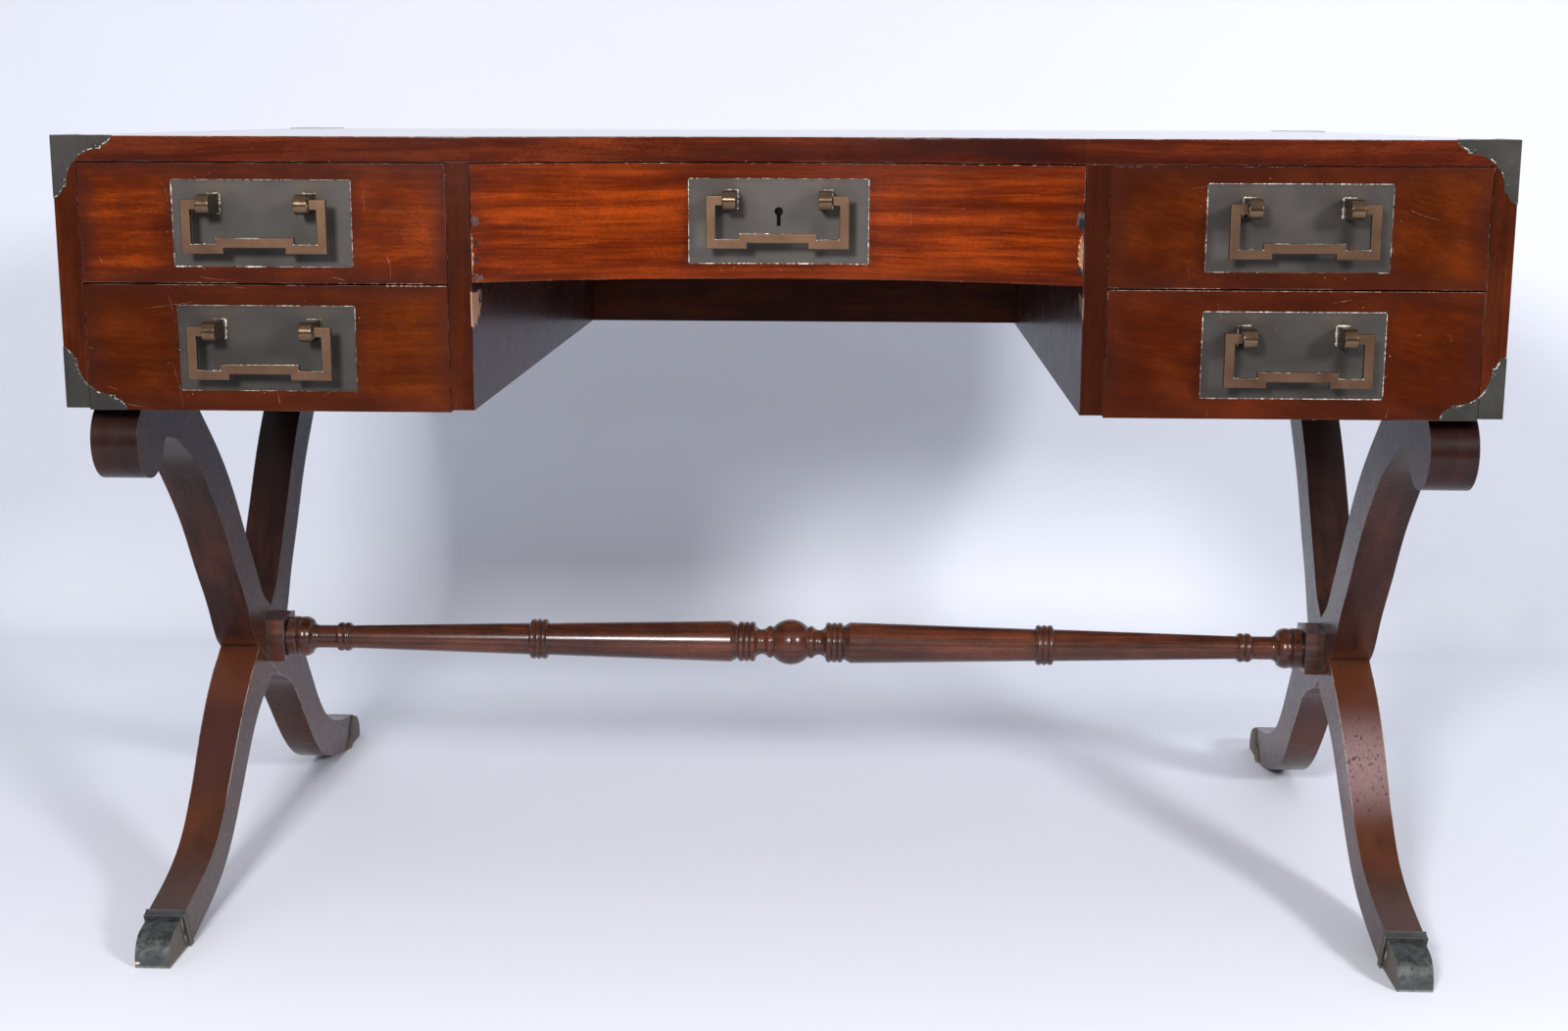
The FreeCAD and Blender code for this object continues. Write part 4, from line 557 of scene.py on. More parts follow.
FINISHES = {
    "top": mahogany(
        "top_polish", (0.026, 0.0042, 0.0022), (0.052, 0.0080, 0.0032), (0.090, 0.0155, 0.005),
        stripe=0.012, figure=0.8, seed=1.0, gloss=0.15, nicks=0.8, level=0.16, gleam=0.9, marks=top_marks,
        lean=lambda f: f.axes()[0] * -0.12),
    "sides": mahogany(
        "side_polish", (0.019, 0.0038, 0.0012), (0.036, 0.0064, 0.0017), (0.060, 0.011, 0.003),
        turn=UPRIGHT, figure=0.6, seed=2.0),
    "back": mahogany(
        "back_polish", (0.017, 0.0036, 0.0012), (0.033, 0.0062, 0.0018), (0.055, 0.0105, 0.003),
        stripe=0.014, figure=0.6, seed=3.5),
    "kneehole": mahogany(
        "kneehole_polish", (0.019, 0.0038, 0.0012), (0.037, 0.0064, 0.0017), (0.062, 0.011, 0.003),
        turn=UPRIGHT, figure=0.6, seed=2.5, marks=kneehole_marks, level=0.10, coat=0.03),
    "carcase": mahogany(
        "carcase_wood", (0.010, 0.004, 0.003), (0.022, 0.008, 0.005), (0.04, 0.015, 0.008), figure=0.5,
        seed=3.0, gloss=0.45, nicks=0.1, level=0.2),
    "upper_left": front_finish(
        "upper_left", (0.0458, 0.0059, 0.0008), (0.0880, 0.0114, 0.0011), (0.1452, 0.0214, 0.0020),
        stripe=0.012, figure=0.8, dash=0.8, reach=0.12, depth=0.8, seed=4.0, wander=0.02),
    "lower_left": front_finish(
        "lower_left", (0.0279, 0.0044, 0.0006), (0.0484, 0.0074, 0.0008), (0.0781, 0.0129, 0.0012),
        lean=0.16, stripe=0.014, figure=0.5, dash=0.5, reach=0.2, seed=5.0),
    "upper_right": front_finish(
        "upper_right", (0.0246, 0.0039, 0.0007), (0.0475, 0.0073, 0.0009), (0.0810, 0.0138, 0.0018),
        lean=0.10, turn=(0.0, 0.3, 0.0), stripe=0.02, figure=0.4, dash=0.3, reach=0.12, depth=0.55,
        seed=6.0),
    "lower_right": front_finish(
        "lower_right", (0.0265, 0.0038, 0.0006), (0.0470, 0.0066, 0.0008), (0.0764, 0.0114, 0.0012),
        turn=(0.0, 0.2, 0.0), stripe=0.018, figure=0.45, dash=0.35, reach=0.12, depth=0.5, seed=7.0,
        wander=0.03),
    "centre": front_finish(
        "centre", (0.0582, 0.0063, 0.0006), (0.1048, 0.0124, 0.0009), (0.1649, 0.0221, 0.0017),
        spots=CENTRE_SPOTS, depth=0.4, stripe=0.0085, figure=1.3, dash=0.5, reach=0.35, seed=8.0,
        wander=0.01),
    "legs": mahogany(
        "leg_polish", (0.010, 0.0036, 0.0030), (0.023, 0.0075, 0.0056), (0.046, 0.0145, 0.0085),
        turn=UPRIGHT, stripe=0.012, figure=0.5, seed=9.0, gloss=0.27, marks=leg_marks, level=0.14,
        coat=0.08, nicks=0.35),
    "turned": mahogany(
        "turned_polish", (0.022, 0.0075, 0.0055), (0.050, 0.0155, 0.0095), (0.098, 0.028, 0.014),
        stripe=0.006, figure=0.9, seed=10.0, gloss=0.22, marks=turned_marks, nicks=0.3, worn=0.8,
        level=0.35, relief=0.0004),
    "bracket": old_brass(
        "bracket_brass", (0.034, 0.032, 0.029), (0.051, 0.047, 0.042), (0.074, 0.068, 0.060), seed=22.0,
        fine=1.4, blotch=0.7, grime=0.2, bright=3.0),
    "sabot": old_brass(
        "toe_brass", (0.030, 0.035, 0.034), (0.066, 0.072, 0.070), (0.120, 0.125, 0.115), seed=23.0,
        gloss=0.5, metal=0.6, grime=0.6, fine=0.4, marks=toe_marks, bright=1.6),
    "post": old_brass(
        "post_brass", (0.066, 0.041, 0.023), (0.124, 0.077, 0.045), (0.215, 0.145, 0.092), seed=24.0,
        gloss=0.22, fine=0.4, blotch=0.5, grime=0.2, bright=2.8, edge=0.7, marks=post_marks),
    "bail": old_brass(
        "bail_brass", (0.068, 0.035, 0.020), (0.105, 0.057, 0.034), (0.142, 0.084, 0.052), seed=25.0,
        gloss=0.42, blotch=0.55, grime=0.1, bright=3.6, edge=0.7),
    "pin": old_brass(
        "pin_brass", (0.040, 0.024, 0.015), (0.070, 0.040, 0.026), (0.09, 0.052, 0.034), seed=29.0,
        edge=0.0, grime=0.0),
    "lining": drawer_lining("drawer_lining"),
    "lock": old_brass("lock_metal", (0.05, 0.045, 0.035), (0.11, 0.10, 0.08), (0.2, 0.18, 0.14), seed=26.0),
    "steel": old_brass("screw_steel", (0.04, 0.04, 0.04), (0.10, 0.10, 0.10), (0.2, 0.2, 0.2), seed=27.0),
    "filler": white_filler("white_filler"),
    "scratch_and_highlight": scratch_line("scratch_and_highlight"),
    "wax": mahogany(
        "dark_polish", (0.012, 0.003, 0.002), (0.024, 0.0062, 0.0035), (0.04, 0.010, 0.005), seed=44.0,
        figure=0.5, nicks=0.0, worn=0.0),
    # Pale brass for the rings rubbed on the posts and for the bails' painted highlights.
    "bright": old_brass(
        "rubbed_and_highlight_brass", (0.35, 0.33, 0.28), (0.52, 0.50, 0.44), (0.72, 0.70, 0.64), seed=28.0, gloss=0.3,
        grime=0.3),
}
for number, drawer in enumerate(DRAWERS):
    FINISHES[f"{drawer}_plate"] = plate_finish(drawer, 30.0 + number, PLATE_TONE[drawer])

FINISH_OF_NODE = {
    "desktop": "top", "back_panel": "back", "stretcher": "turned", "lock_case": "lock", "lock_bolt": "lock",
    "frame_screws": "steel", "pedestal_bottoms": "carcase", "drawer_dividers": "carcase",
    "centre_runners": "carcase", "top_brackets": "bracket", "bottom_brackets": "bracket",
}
FINISH_OF_START = {"kneehole_side": "kneehole", "outer_side": "sides", "leg": "legs", "sabot": "sabot"}


def finish_for(name):
    """The finish of a node: by its own name, by how it starts, by its kind, or by its drawer."""
    if name in FINISH_OF_NODE:
        return FINISH_OF_NODE[name]
    for start, finish in FINISH_OF_START.items():
        if name.startswith(start):
            return finish
    kind = name.rsplit("_", 1)[1]
    if kind in ("sides", "back", "bottom"):
        return "lining"
    if kind == "front":
        return name[:-len("_front")]
    return {"plate": name, "posts": "post", "bail": "bail", "bracket": "bracket"}[kind]


for name, item in NODES.items():
    item.data.materials.clear()
    item.data.materials.append(FINISHES[finish_for(name)])


# ---------------------------------------------------------------- fine pieces

def add_mesh(name, points, faces, material, smooth=False, body=None):
    """A mesh object from points and faces; one that rides a body is a closed shell attached to that body."""
    mesh = bpy.data.meshes.new(name)
    mesh.from_pydata(points.tolist(), [], faces)
    if body:
        shell = bmesh.new()
        shell.from_mesh(mesh)
        bmesh.ops.recalc_face_normals(shell, faces=shell.faces)
        shell.to_mesh(mesh)
        shell.free()
    mesh.materials.append(material)
    mesh.polygons.foreach_set("use_smooth", [smooth] * len(mesh.polygons))
    made = bpy.data.objects.new(name, mesh)
    bpy.context.scene.collection.objects.link(made)
    if body:
        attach(made, body)
    return made


def sheet_faces(rows, columns):
    """Quads of a grid of rows x columns points."""
    at = np.arange(rows * columns).reshape(rows, columns)
    return np.stack([at[:-1, :-1], at[1:, :-1], at[1:, 1:], at[:-1, 1:]], -1).reshape(-1, 4)


OVAL = np.array([(-0.5, -0.3), (-0.46, 0.45), (-0.2, 0.95), (0.2, 0.95), (0.46, 0.45), (0.5, -0.3)])
THINNEST = 0.00006
MM = 0.001
FRONT_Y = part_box("upper_left_front")[0][1]
HALF_OPENING, HOLLOW = 0.257, 0.062
ARC_RADIUS = (HALF_OPENING ** 2 + HOLLOW ** 2) / (2 * HOLLOW)
ARC_Y = FRONT_Y + HOLLOW - ARC_RADIUS


def wave(count, span):
    """A seeded uneven line: random values smoothed over about span samples, with a spread of 1."""
    kernel = np.hanning(2 * span + 3)
    kernel /= np.sqrt((kernel ** 2).sum())
    return np.convolve(rng.normal(size=count + len(kernel) - 1), kernel, "valid")


def tube(grid):
    """Faces of a closed tube whose cross-sections are the rows of a grid of points, with flat ends."""
    rows, sides = grid.shape[:2]
    at = np.arange(rows * sides).reshape(rows, sides)
    turn = np.roll(at, -1, axis=1)
    quads = np.stack([at[:-1], turn[:-1], turn[1:], at[1:]], -1).reshape(-1, 4)
    return quads.tolist() + [at[0][::-1].tolist(), at[-1].tolist()]


class Pile:
    """Points and faces of many small closed shapes that become one piece."""

    def __init__(self):
        self.points, self.faces, self.count = [], [], 0

    def add(self, grid):
        self.faces += [[at + self.count for at in face] for face in tube(grid)]
        self.points.append(grid.reshape(-1, 3))
        self.count += grid.shape[0] * grid.shape[1]

    def ridge(self, path, outward, width, height):
        """Low ridges along a path of points, lower where they are narrow and broken where they are thin.

        A cross-section is a flat oval: across the path it spans the local width, outward it rises to
        height, and its foot reaches a little into the surface.
        """
        outward = np.broadcast_to(outward, path.shape)
        across = np.cross(outward, np.gradient(path, axis=0))
        across /= np.linalg.norm(across, axis=1)[:, None]
        rise = height * np.clip(width / width.max(), 0.3, 1.0)
        grid = (path[:, None] + across[:, None] * (width[:, None] * OVAL[:, 0])[..., None]
                + outward[:, None] * (rise[:, None] * OVAL[:, 1])[..., None])
        kept = np.flatnonzero(width > THINNEST)
        for run in np.split(kept, np.flatnonzero(np.diff(kept) > 1) + 1):
            if len(run) > 2:
                self.add(grid[run])

    def dome(self, centre, outward, radius, height):
        """A round head: rings at angle t have radius * cos t and stand height * sin t out."""
        t = np.linspace(-0.3, 1.4, 6)
        turn = np.linspace(0, 2 * math.pi, 14, endpoint=False)
        outward = np.array(outward, float)
        side = np.cross(outward, (0.3, 0.5, 0.81))
        side /= np.linalg.norm(side)
        up = np.cross(outward, side)
        ring = side * np.cos(turn)[:, None] + up * np.sin(turn)[:, None]
        self.add(np.array(centre) + ring[None] * (radius * np.cos(t))[:, None, None]
                 + outward * (height * np.sin(t))[:, None, None])

    def finish(self, name, material, body, slot):
        if self.points:
            add_mesh(name, np.concatenate(self.points), self.faces, FINISHES[material], True, body)


def front_surface(drawer, x, z):
    """Points on a drawer's front at x and z, and the outward directions there.

    The centre front follows a circle of ARC_RADIUS about ARC_Y; the others are flat.
    """
    x, z = np.broadcast_arrays(np.asarray(x, float), np.asarray(z, float))
    if drawer != "centre":
        return np.stack([x, np.full_like(x, FRONT_Y), z], -1), np.tile((0.0, -1.0, 0.0), (len(x), 1))
    y = ARC_Y + np.sqrt(ARC_RADIUS ** 2 - x ** 2)
    outward = np.stack([-x, ARC_Y - y, 0 * x], -1)
    return np.stack([x, y, z], -1), outward / np.linalg.norm(outward, axis=1)[:, None]


def ragged(count, parts, pitch, least=0.0):
    """Widths along a line: for each part (from, to, millimetres) a soft-ended stretch, made uneven."""
    t = np.linspace(0, 1, count)
    width = np.zeros(count)
    for start, end, size in parts:
        ends = np.minimum((t - start), (end - t)) * count * pitch / (1.5 * MM)
        width = np.maximum(width, size * MM * np.clip(ends, 0, 1))
    uneven = 0.62 + 0.45 * wave(count, 1) + 0.42 * wave(count, 9)
    return width * np.clip(uneven, least, 1.6)


def edge_line(pile, drawer, start, end, parts, height, least=0.0, bow=0.0):
    """A ragged ridge on a drawer's front from one (x, z) to another, with a point each 0.7 mm."""
    pitch = 0.7 * MM
    count = max(int(math.hypot(end[0] - start[0], end[1] - start[1]) / pitch), 6)
    t = np.linspace(0, 1, count)
    bulge = bow * 4 * t * (1 - t)
    path, outward = front_surface(drawer, start[0] + (end[0] - start[0]) * t - (end[1] - start[1]) * bulge,
                                  start[1] + (end[1] - start[1]) * t + (end[0] - start[0]) * bulge)
    pile.ridge(path, outward, ragged(count, parts, pitch, least), height)


# Stopping round each plate, as stretches of each side: from, to (shares of the side) and width in
# millimetres. Left and right run from the bottom up, top and bottom from the left.
PLATE_FILLER = {
    "upper_left": {"left": [(0, 0.16, 0.74), (0.3, 0.62, 0.37), (0.62, 1, 0.81)], "top": [(0, 1, 0.28)],
                   "right": [(0, 0.3, 0.43), (0.3, 1, 0.31)],
                   "bottom": [(0.0, 0.16, 0.87), (0.34, 0.52, 0.68), (0.55, 1, 0.31)]},
    "lower_left": {"left": [(0, 0.06, 0.50)], "top": [(0, 1, 0.31), (0.92, 1, 0.68)],
                   "right": [(0.7, 1, 0.43), (0.1, 0.4, 0.22)],
                   "bottom": [(0, 0.13, 0.68), (0.3, 0.7, 0.22)]},
    "centre": {"left": [(0, 0.3, 0.68), (0.3, 1, 0.43)],
               "top": [(0, 0.12, 0.68), (0.2, 0.6, 0.37), (0.6, 1, 0.37), (0.94, 1, 0.81)],
               "right": [(0, 1, 0.74)], "bottom": [(0, 1, 0.56), (0.6, 1, 0.81)]},
    "upper_right": {"left": [(0, 1, 0.59)], "top": [(0, 1, 0.59)],
                    "right": [(0.18, 0.36, 0.50), (0, 0.1, 0.43), (0.5, 1, 0.20)],
                    "bottom": [(0, 0.14, 0.56), (0.52, 0.58, 0.37), (0.93, 1, 0.56)]},
    "lower_right": {"left": [(0, 1, 0.46)], "top": [(0, 1, 0.65)],
                    "right": [(0, 0.5, 0.43), (0.45, 1, 0.62)], "bottom": [(0, 1, 0.56)]},
}

# Pale lines on the drawer fronts' arrises, in the same way: rubbed wear with a painted highlight along the
# edge.
EDGE_WEAR_AND_HIGHLIGHT = {
    "upper_left": {"bottom": [(0.25, 0.42, 0.4), (0.7, 0.95, 0.3)]},
    "lower_left": {"top": [(0.83, 1, 0.9), (0.2, 0.36, 0.35), (0.5, 0.62, 0.25)]},
    "centre": {"top": [(0, 0.36, 0.4), (0.4, 0.75, 0.25), (0.75, 1, 0.4)], "right": [(0.55, 1, 0.3)]},
    "upper_right": {"top": [(0, 0.12, 0.2), (0.3, 0.5, 0.15)], "bottom": [(0.15, 0.3, 0.4), (0.5, 0.6, 0.3)]},
    "lower_right": {"top": [(0, 1, 0.4)], "left": [(0.8, 1, 0.25)]},
}

# How far outside a drawer front old dark polish lies, and the sides whose gap it nearly closes.
WAX_SHIFT = 0.55 * MM
CLOSED_GAPS = {"upper_left": ("left",), "lower_left": ("left", "right"), "centre": (),
               "upper_right": ("left", "top"), "lower_right": ("left",)}

# The number of specks of stopping round each plate, and how far from it they reach.
SPECKS, SPECKS_REACH = 34, 7 * MM

# Scratches in the fronts' polish: x0, z0, x1, z1 in millimetres.
SCRATCHES = {
    "lower_left": [(-539, 621, -496, 627), (-517, 633, -514, 620), (-526, 593, -524, 595),
                   (-588, 588, -583, 586), (-521, 573, -517, 577), (-516, 574, -511, 553),
                   (-511, 556, -509, 537), (-427, 550, -425, 540), (-574, 555, -565, 551),
                   (-557, 539, -540, 537), (-461, 640, -450, 639), (-387, 547, -374, 553)],
    "upper_left": [(-518, 728, -510, 716), (-515, 723, -512, 712), (-488, 648, -467, 646),
                   (-328, 666, -326, 647), (-347, 720, -346, 704), (-575, 665, -572, 660),
                   (-375, 649, -365, 646)],
    "upper_right": [(343, 725, 357, 728), (521, 738, 524, 732), (341, 667, 345, 651), (524, 709, 548, 701),
                    (510, 679, 513, 671)],
    "lower_right": [(369, 631, 373, 618), (355, 624, 357, 623), (363, 544, 365, 534), (533, 605, 540, 607),
                    (520, 611, 523, 609), (562, 608, 564, 600), (515, 546, 513, 535), (464, 632, 480, 635)],
    "centre": [(-236, 691, -199, 695), (116, 741, 118, 650), (213, 741, 215, 654), (-125, 664, -90, 667),
               (-191, 652, -181, 649), (140, 707, 162, 706), (170, 699, 202, 701), (-223, 712, -217, 708)],
}


def rectangle_point(x0, x1, z0, z1, share, away):
    """A point at a share of the way round a rectangle, a distance outside it; half of them below it."""
    below, above, left = 0.5, 0.65, 0.85
    if share < below:
        return x0 + (x1 - x0) * share / below, z0 - away
    if share < above:
        return x0 + (x1 - x0) * (share - below) / (above - below), z1 + away
    if share < left:
        return x0 - away, z0 + (z1 - z0) * (share - above) / (left - above)
    return x1 + away, z0 + (z1 - z0) * (share - left) / (1 - left)


def dress_front(drawer):
    """One drawer's front: stopping round plate and posts, rubbed arrises with a painted highlight, closed
    gaps, scratches, specks.
    """
    body = NODE_BODY[f"{drawer}_front"]
    paste, rubbed, wax = Pile(), Pile(), Pile()
    for table, node, pile, out in ((PLATE_FILLER, "plate", paste, 0.15 * MM),
                                   (EDGE_WEAR_AND_HIGHLIGHT, "front", rubbed, -0.25 * MM)):
        low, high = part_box(f"{drawer}_{node}")
        x0, x1, z0, z1 = low[0] - out, high[0] + out, low[2] - out, high[2] + out
        lines = {"left": ((x0, z0), (x0, z1)), "right": ((x1, z0), (x1, z1)),
                 "bottom": ((x0, z0), (x1, z0)), "top": ((x0, z1), (x1, z1))}
        for side, parts in table[drawer].items():
            height = (0.14 if pile is paste else 0.05) * MM
            edge_line(pile, drawer, *lines[side], parts, height, least=0.2)
        if pile is rubbed:
            for side in CLOSED_GAPS[drawer]:
                shift = WAX_SHIFT * np.array({"left": (-1, 0), "right": (1, 0), "top": (0, 1)}[side])
                start, end = (np.array(point) + shift for point in lines[side])
                edge_line(wax, drawer, start, end, [(-0.1, 1.1, 0.95)], 0.04 * MM, least=0.95)
    for bow, (x0, z0, x1, z1) in zip(wave(len(SCRATCHES[drawer]), 0), SCRATCHES[drawer]):
        edge_line(rubbed, drawer, (x0 * MM, z0 * MM), (x1 * MM, z1 * MM), [(-0.1, 1.1, 0.14)], 0.02 * MM,
                  least=0.5, bow=0.03 * bow)
    low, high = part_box(f"{drawer}_plate")
    for share, away, size in rng.random((SPECKS, 3)):
        x, z = rectangle_point(low[0], high[0], low[2], high[2], share, SPECKS_REACH * away ** 2)
        path, outward = front_surface(drawer, [x], [z])
        paste.dome(path[0], outward[0], (0.10 + 0.28 * size ** 4) * MM, 0.08 * MM)
    low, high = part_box(f"{drawer}_posts")
    for centre in (low[0] + POST_HALF[0], high[0] - POST_HALF[0]):
        x0, x1 = centre - POST_HALF[0] - 0.0001, centre + POST_HALF[0] + 0.0001
        left, right = (0.8, 1.7) if centre < (low[0] + high[0]) / 2 else (1.7, 0.8)
        for start, end, wide in (((x0, low[2]), (x0, high[2]), left), ((x1, low[2]), (x1, high[2]), right),
                                 ((x0, low[2]), (x1, low[2]), 0.8), ((x0, high[2]), (x1, high[2]), 1.4)):
            edge_line(paste, drawer, start, end, [(-0.05, 1.05, wide)], height=0.35 * MM, least=0.1)
    wood = "centre_mahogany" if drawer == "centre" else "drawer_mahogany"
    paste.finish(f"{drawer}_plate_stopping", "filler", body, wood)
    rubbed.finish(f"{drawer}_rubbed_and_highlit_edges", "scratch_and_highlight", body, wood)
    wax.finish(f"{drawer}_closed_gaps", "wax", body, wood)


def bail_rings(drawer):
    """Crescents that the bail has rubbed on its posts' outer cheeks, and its pins' ends on the inner ones."""
    low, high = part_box(f"{drawer}_posts")
    pivot_y, pivot_z = low[1] + POST_HALF[1], (low[2] + high[2]) / 2
    turn = np.linspace(0, 2 * math.pi, 44)
    pile = Pile()
    for side, x in ((-1, low[0]), (1, high[0])):
        path = np.stack([np.full_like(turn, x), pivot_y + RING_RADIUS * np.cos(turn),
                         pivot_z + RING_RADIUS * np.sin(turn)], -1)
        pile.ridge(path, (side, 0.0, 0.0), ragged(len(turn), [(-0.1, 1.1, 1.3)], MM), 0.12 * MM)
    pile.finish(f"{drawer}_bail_rings", "bright", NODE_BODY[f"{drawer}_posts"], "post_brass")
    plugs = Pile()
    for side, x in ((1, low[0] + 2 * POST_HALF[0]), (-1, high[0] - 2 * POST_HALF[0])):
        plugs.dome((x, pivot_y, pivot_z), (side, 0.0, 0.0), PIN_RADIUS + 0.3 * MM, 0.04 * MM)
    plugs.finish(f"{drawer}_pin_ends", "pin", NODE_BODY[f"{drawer}_posts"], "post_brass")


def bail_arris_highlights(drawer):
    """Painted highlights: bright lines on the upper front arrises of a bail's stepped bottom bar, and bright
    dots as painted glints at its inner corners.

    The line follows the bar's upper edge: low beside the arms, then up a step to the raised middle.
    """
    low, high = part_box(f"{drawer}_bail")
    middle, y = (low[0] + high[0]) / 2, low[1] + 0.18 * MM
    half, floor = (high[0] - low[0]) / 2 - BAIL_BAR, low[2] + BAIL_BAR - 0.18 * MM
    pile = Pile()
    for start, end, z in ((-half, -BAIL_NOTCH, floor), (-BAIL_NOTCH, BAIL_NOTCH, floor + BAIL_STEP),
                          (BAIL_NOTCH, half, floor)):
        x = middle + np.linspace(start, end, 60)
        path = np.stack([x, np.full(60, y), np.full(60, z)], -1)
        pile.ridge(path, (0.0, -0.7071, 0.7071), ragged(60, [(-0.1, 1.1, 0.45)], MM, 0.1), 0.12 * MM)
    for x, z in ((half, floor), (-half, floor), (BAIL_NOTCH, floor), (-BAIL_NOTCH, floor)):
        pile.dome((middle + x, y, z), (0.0, -0.7071, 0.7071), 0.65 * MM, 0.3 * MM)
    pile.finish(f"{drawer}_bail_arris_highlights", "bright", NODE_BODY[f"{drawer}_bail"], "bail_brass")


POST_HALF = (5.5 * MM, 8.3 * MM)
PIN_RADIUS, RING_RADIUS = 2.4 * MM, 5.6 * MM
BAIL_BAR, BAIL_STEP, BAIL_NOTCH = 8.3 * MM, 5.0 * MM, 33.5 * MM
for drawer in DRAWERS:
    dress_front(drawer)
    bail_rings(drawer)
    bail_arris_highlights(drawer)


# A bracket's outline in millimetres from its corner: points of one leg, then the sweep between the legs.
BRACKET_POINTS = ((52.0, 0.0), (49.75, 4.6), (43.0, 8.36), (42.3, 11.16))
SWEEP_CENTRE, SWEEP_RADIUS = 40.5, 29.4
# A lower front bracket's part beyond this many millimetres is fixed on the drawer front.
DRAWER_PART = 20.3
PINS = ((38.0, 9.0), (9.5, 37.0))
PROUD = 0.4 * MM


def bracket_edge():
    """The shaped edge of a bracket in its own two legs, in millimetres, as one line of points.

    From a leg's end an arc bulges out to the lobe, a short step follows, then a hollow sweep of
    SWEEP_RADIUS about the centre to the other leg's step, and the same again.
    """
    tip, bulge, lobe, step = (np.array(point) for point in BRACKET_POINTS)
    t = np.linspace(0, 1, 14)[:, None]
    middle = 2 * bulge - (tip + lobe) / 2
    arc = (1 - t) ** 2 * tip + 2 * t * (1 - t) * middle + t ** 2 * lobe
    far_x, far_y = step - SWEEP_CENTRE
    angle = np.linspace(math.atan2(far_y, far_x), math.atan2(far_x, far_y) - 2 * math.pi, 60)
    sweep = SWEEP_CENTRE + SWEEP_RADIUS * np.stack([np.cos(angle), np.sin(angle)], -1)
    line = np.concatenate([arc, sweep, arc[::-1, ::-1]])
    far = np.concatenate([[0], np.cumsum(np.linalg.norm(np.diff(line, axis=0), axis=1))])
    even = np.arange(0, far[-1], 0.6)
    line = np.stack([np.interp(even, far, line[:, 0]), np.interp(even, far, line[:, 1])], -1)
    along = np.gradient(line, axis=0)
    off = np.stack([-along[:, 1], along[:, 0]], -1) / np.linalg.norm(along, axis=1)[:, None]
    return line + 0.3 * off


def dress_brackets():
    """Stopping along the brackets' shaped edges, and their small round pins."""
    edge = bracket_edge()
    low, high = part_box("top_brackets")
    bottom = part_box("bottom_brackets")[0][2]
    on_drawer = {side: NODE_BODY[f"lower_{name}_bracket"] for side, name in ((-1, "left"), (1, "right"))}
    piles = {body: (Pile(), Pile()) for body in (CASE, *on_drawer.values())}
    for side, x in ((-1, low[0]), (1, high[0])):
        for end, y in ((-1, low[1]), (1, high[1])):
            for level, z in ((-1, bottom), (1, high[2])):
                across, inward, down = np.diag((-side, -end, -level)).astype(float)
                corner = np.array((x, y, z))
                faces = [(across, down, (0, end, 0)), (inward, down, (side, 0, 0))]
                if level > 0:
                    faces.append((across, inward, (0, 0, 1)))
                for first, second, out in faces:
                    path = corner + (edge[:, :1] * first + edge[:, 1:] * second) * MM
                    path = path - np.array(out) * PROUD
                    width = ragged(len(path), [(-0.1, 1.1, 0.8)], 0.6 * MM, 0.35)
                    lower_front = level < 0 and end < 0 and out[1] < 0
                    moves = lower_front & (edge[:, 0] > DRAWER_PART)
                    for body, chosen in ((CASE, ~moves), (on_drawer[side], moves)):
                        if chosen.any():
                            piles[body][0].ridge(path, out, np.where(chosen, width, 0.0), 0.75 * MM)
                    for u, v in PINS:
                        body = on_drawer[side] if lower_front and u > DRAWER_PART else CASE
                        place = corner + (u * first + v * second) * MM
                        piles[body][1].dome(place, out, 1.5 * MM, 0.25 * MM)
    for body, (paste, pins) in piles.items():
        paste.finish(f"{body}_bracket_stopping", "filler", body, "case_mahogany")
        pins.finish(f"{body}_bracket_pins", "bracket", body, "bracket_brass")


CASE = NODE_BODY["desktop"]
dress_brackets()

# Pale stretches of the desktop's upper front arris, rubbed in places with a painted highlight along it: from,
# to (metres of X) and width in millimetres.
TOP_ARRIS = ((-0.53, -0.42, 0.5), (-0.40, -0.30, 0.7), (-0.29, -0.20, 0.45), (-0.13, -0.02, 0.4),
             (0.04, 0.20, 0.7), (0.20, 0.27, 0.6), (0.30, 0.40, 0.5), (0.42, 0.54, 0.6))
ARRIS_INSET = 0.47 * MM


def dress_desktop():
    """Pale lines on the desktop's upper front arris, rubbed in places with a painted highlight, along the flat
    ends and the hollow middle.
    """
    x = np.linspace(-0.545, 0.545, 1400)
    path, outward = front_surface("centre", np.clip(x, -HALF_OPENING, HALF_OPENING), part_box("desktop")[1][2])
    flat = np.abs(x) >= HALF_OPENING
    path[:, 0] = x
    outward[flat] = (0.0, -1.0, 0.0)
    outward = (outward + (0.0, 0.0, 1.0)) / math.sqrt(2)
    parts = [((a - x[0]) / (x[-1] - x[0]), (b - x[0]) / (x[-1] - x[0]), wide) for a, b, wide in TOP_ARRIS]
    pile = Pile()
    pile.ridge(path - outward * ARRIS_INSET, outward, ragged(len(x), parts, 0.78 * MM, 0.15), 0.1 * MM)
    pile.finish("desktop_arris_highlight", "scratch_and_highlight", CASE, "top_mahogany")


dress_desktop()


# The leaning band of a toe, in millimetres back from its tip and up: its front edge and its back edge.
BAND_FRONT = ((36.4, 36.8), (51.9, 0.6))
BAND_BACK = ((45.5, 40.3), (61.0, 0.6))
TOE_HALF = 16.4 * MM
LIP_WIDE, LIP_RISE, LIP_INSET = 1.7 * MM, 0.5 * MM, 0.9


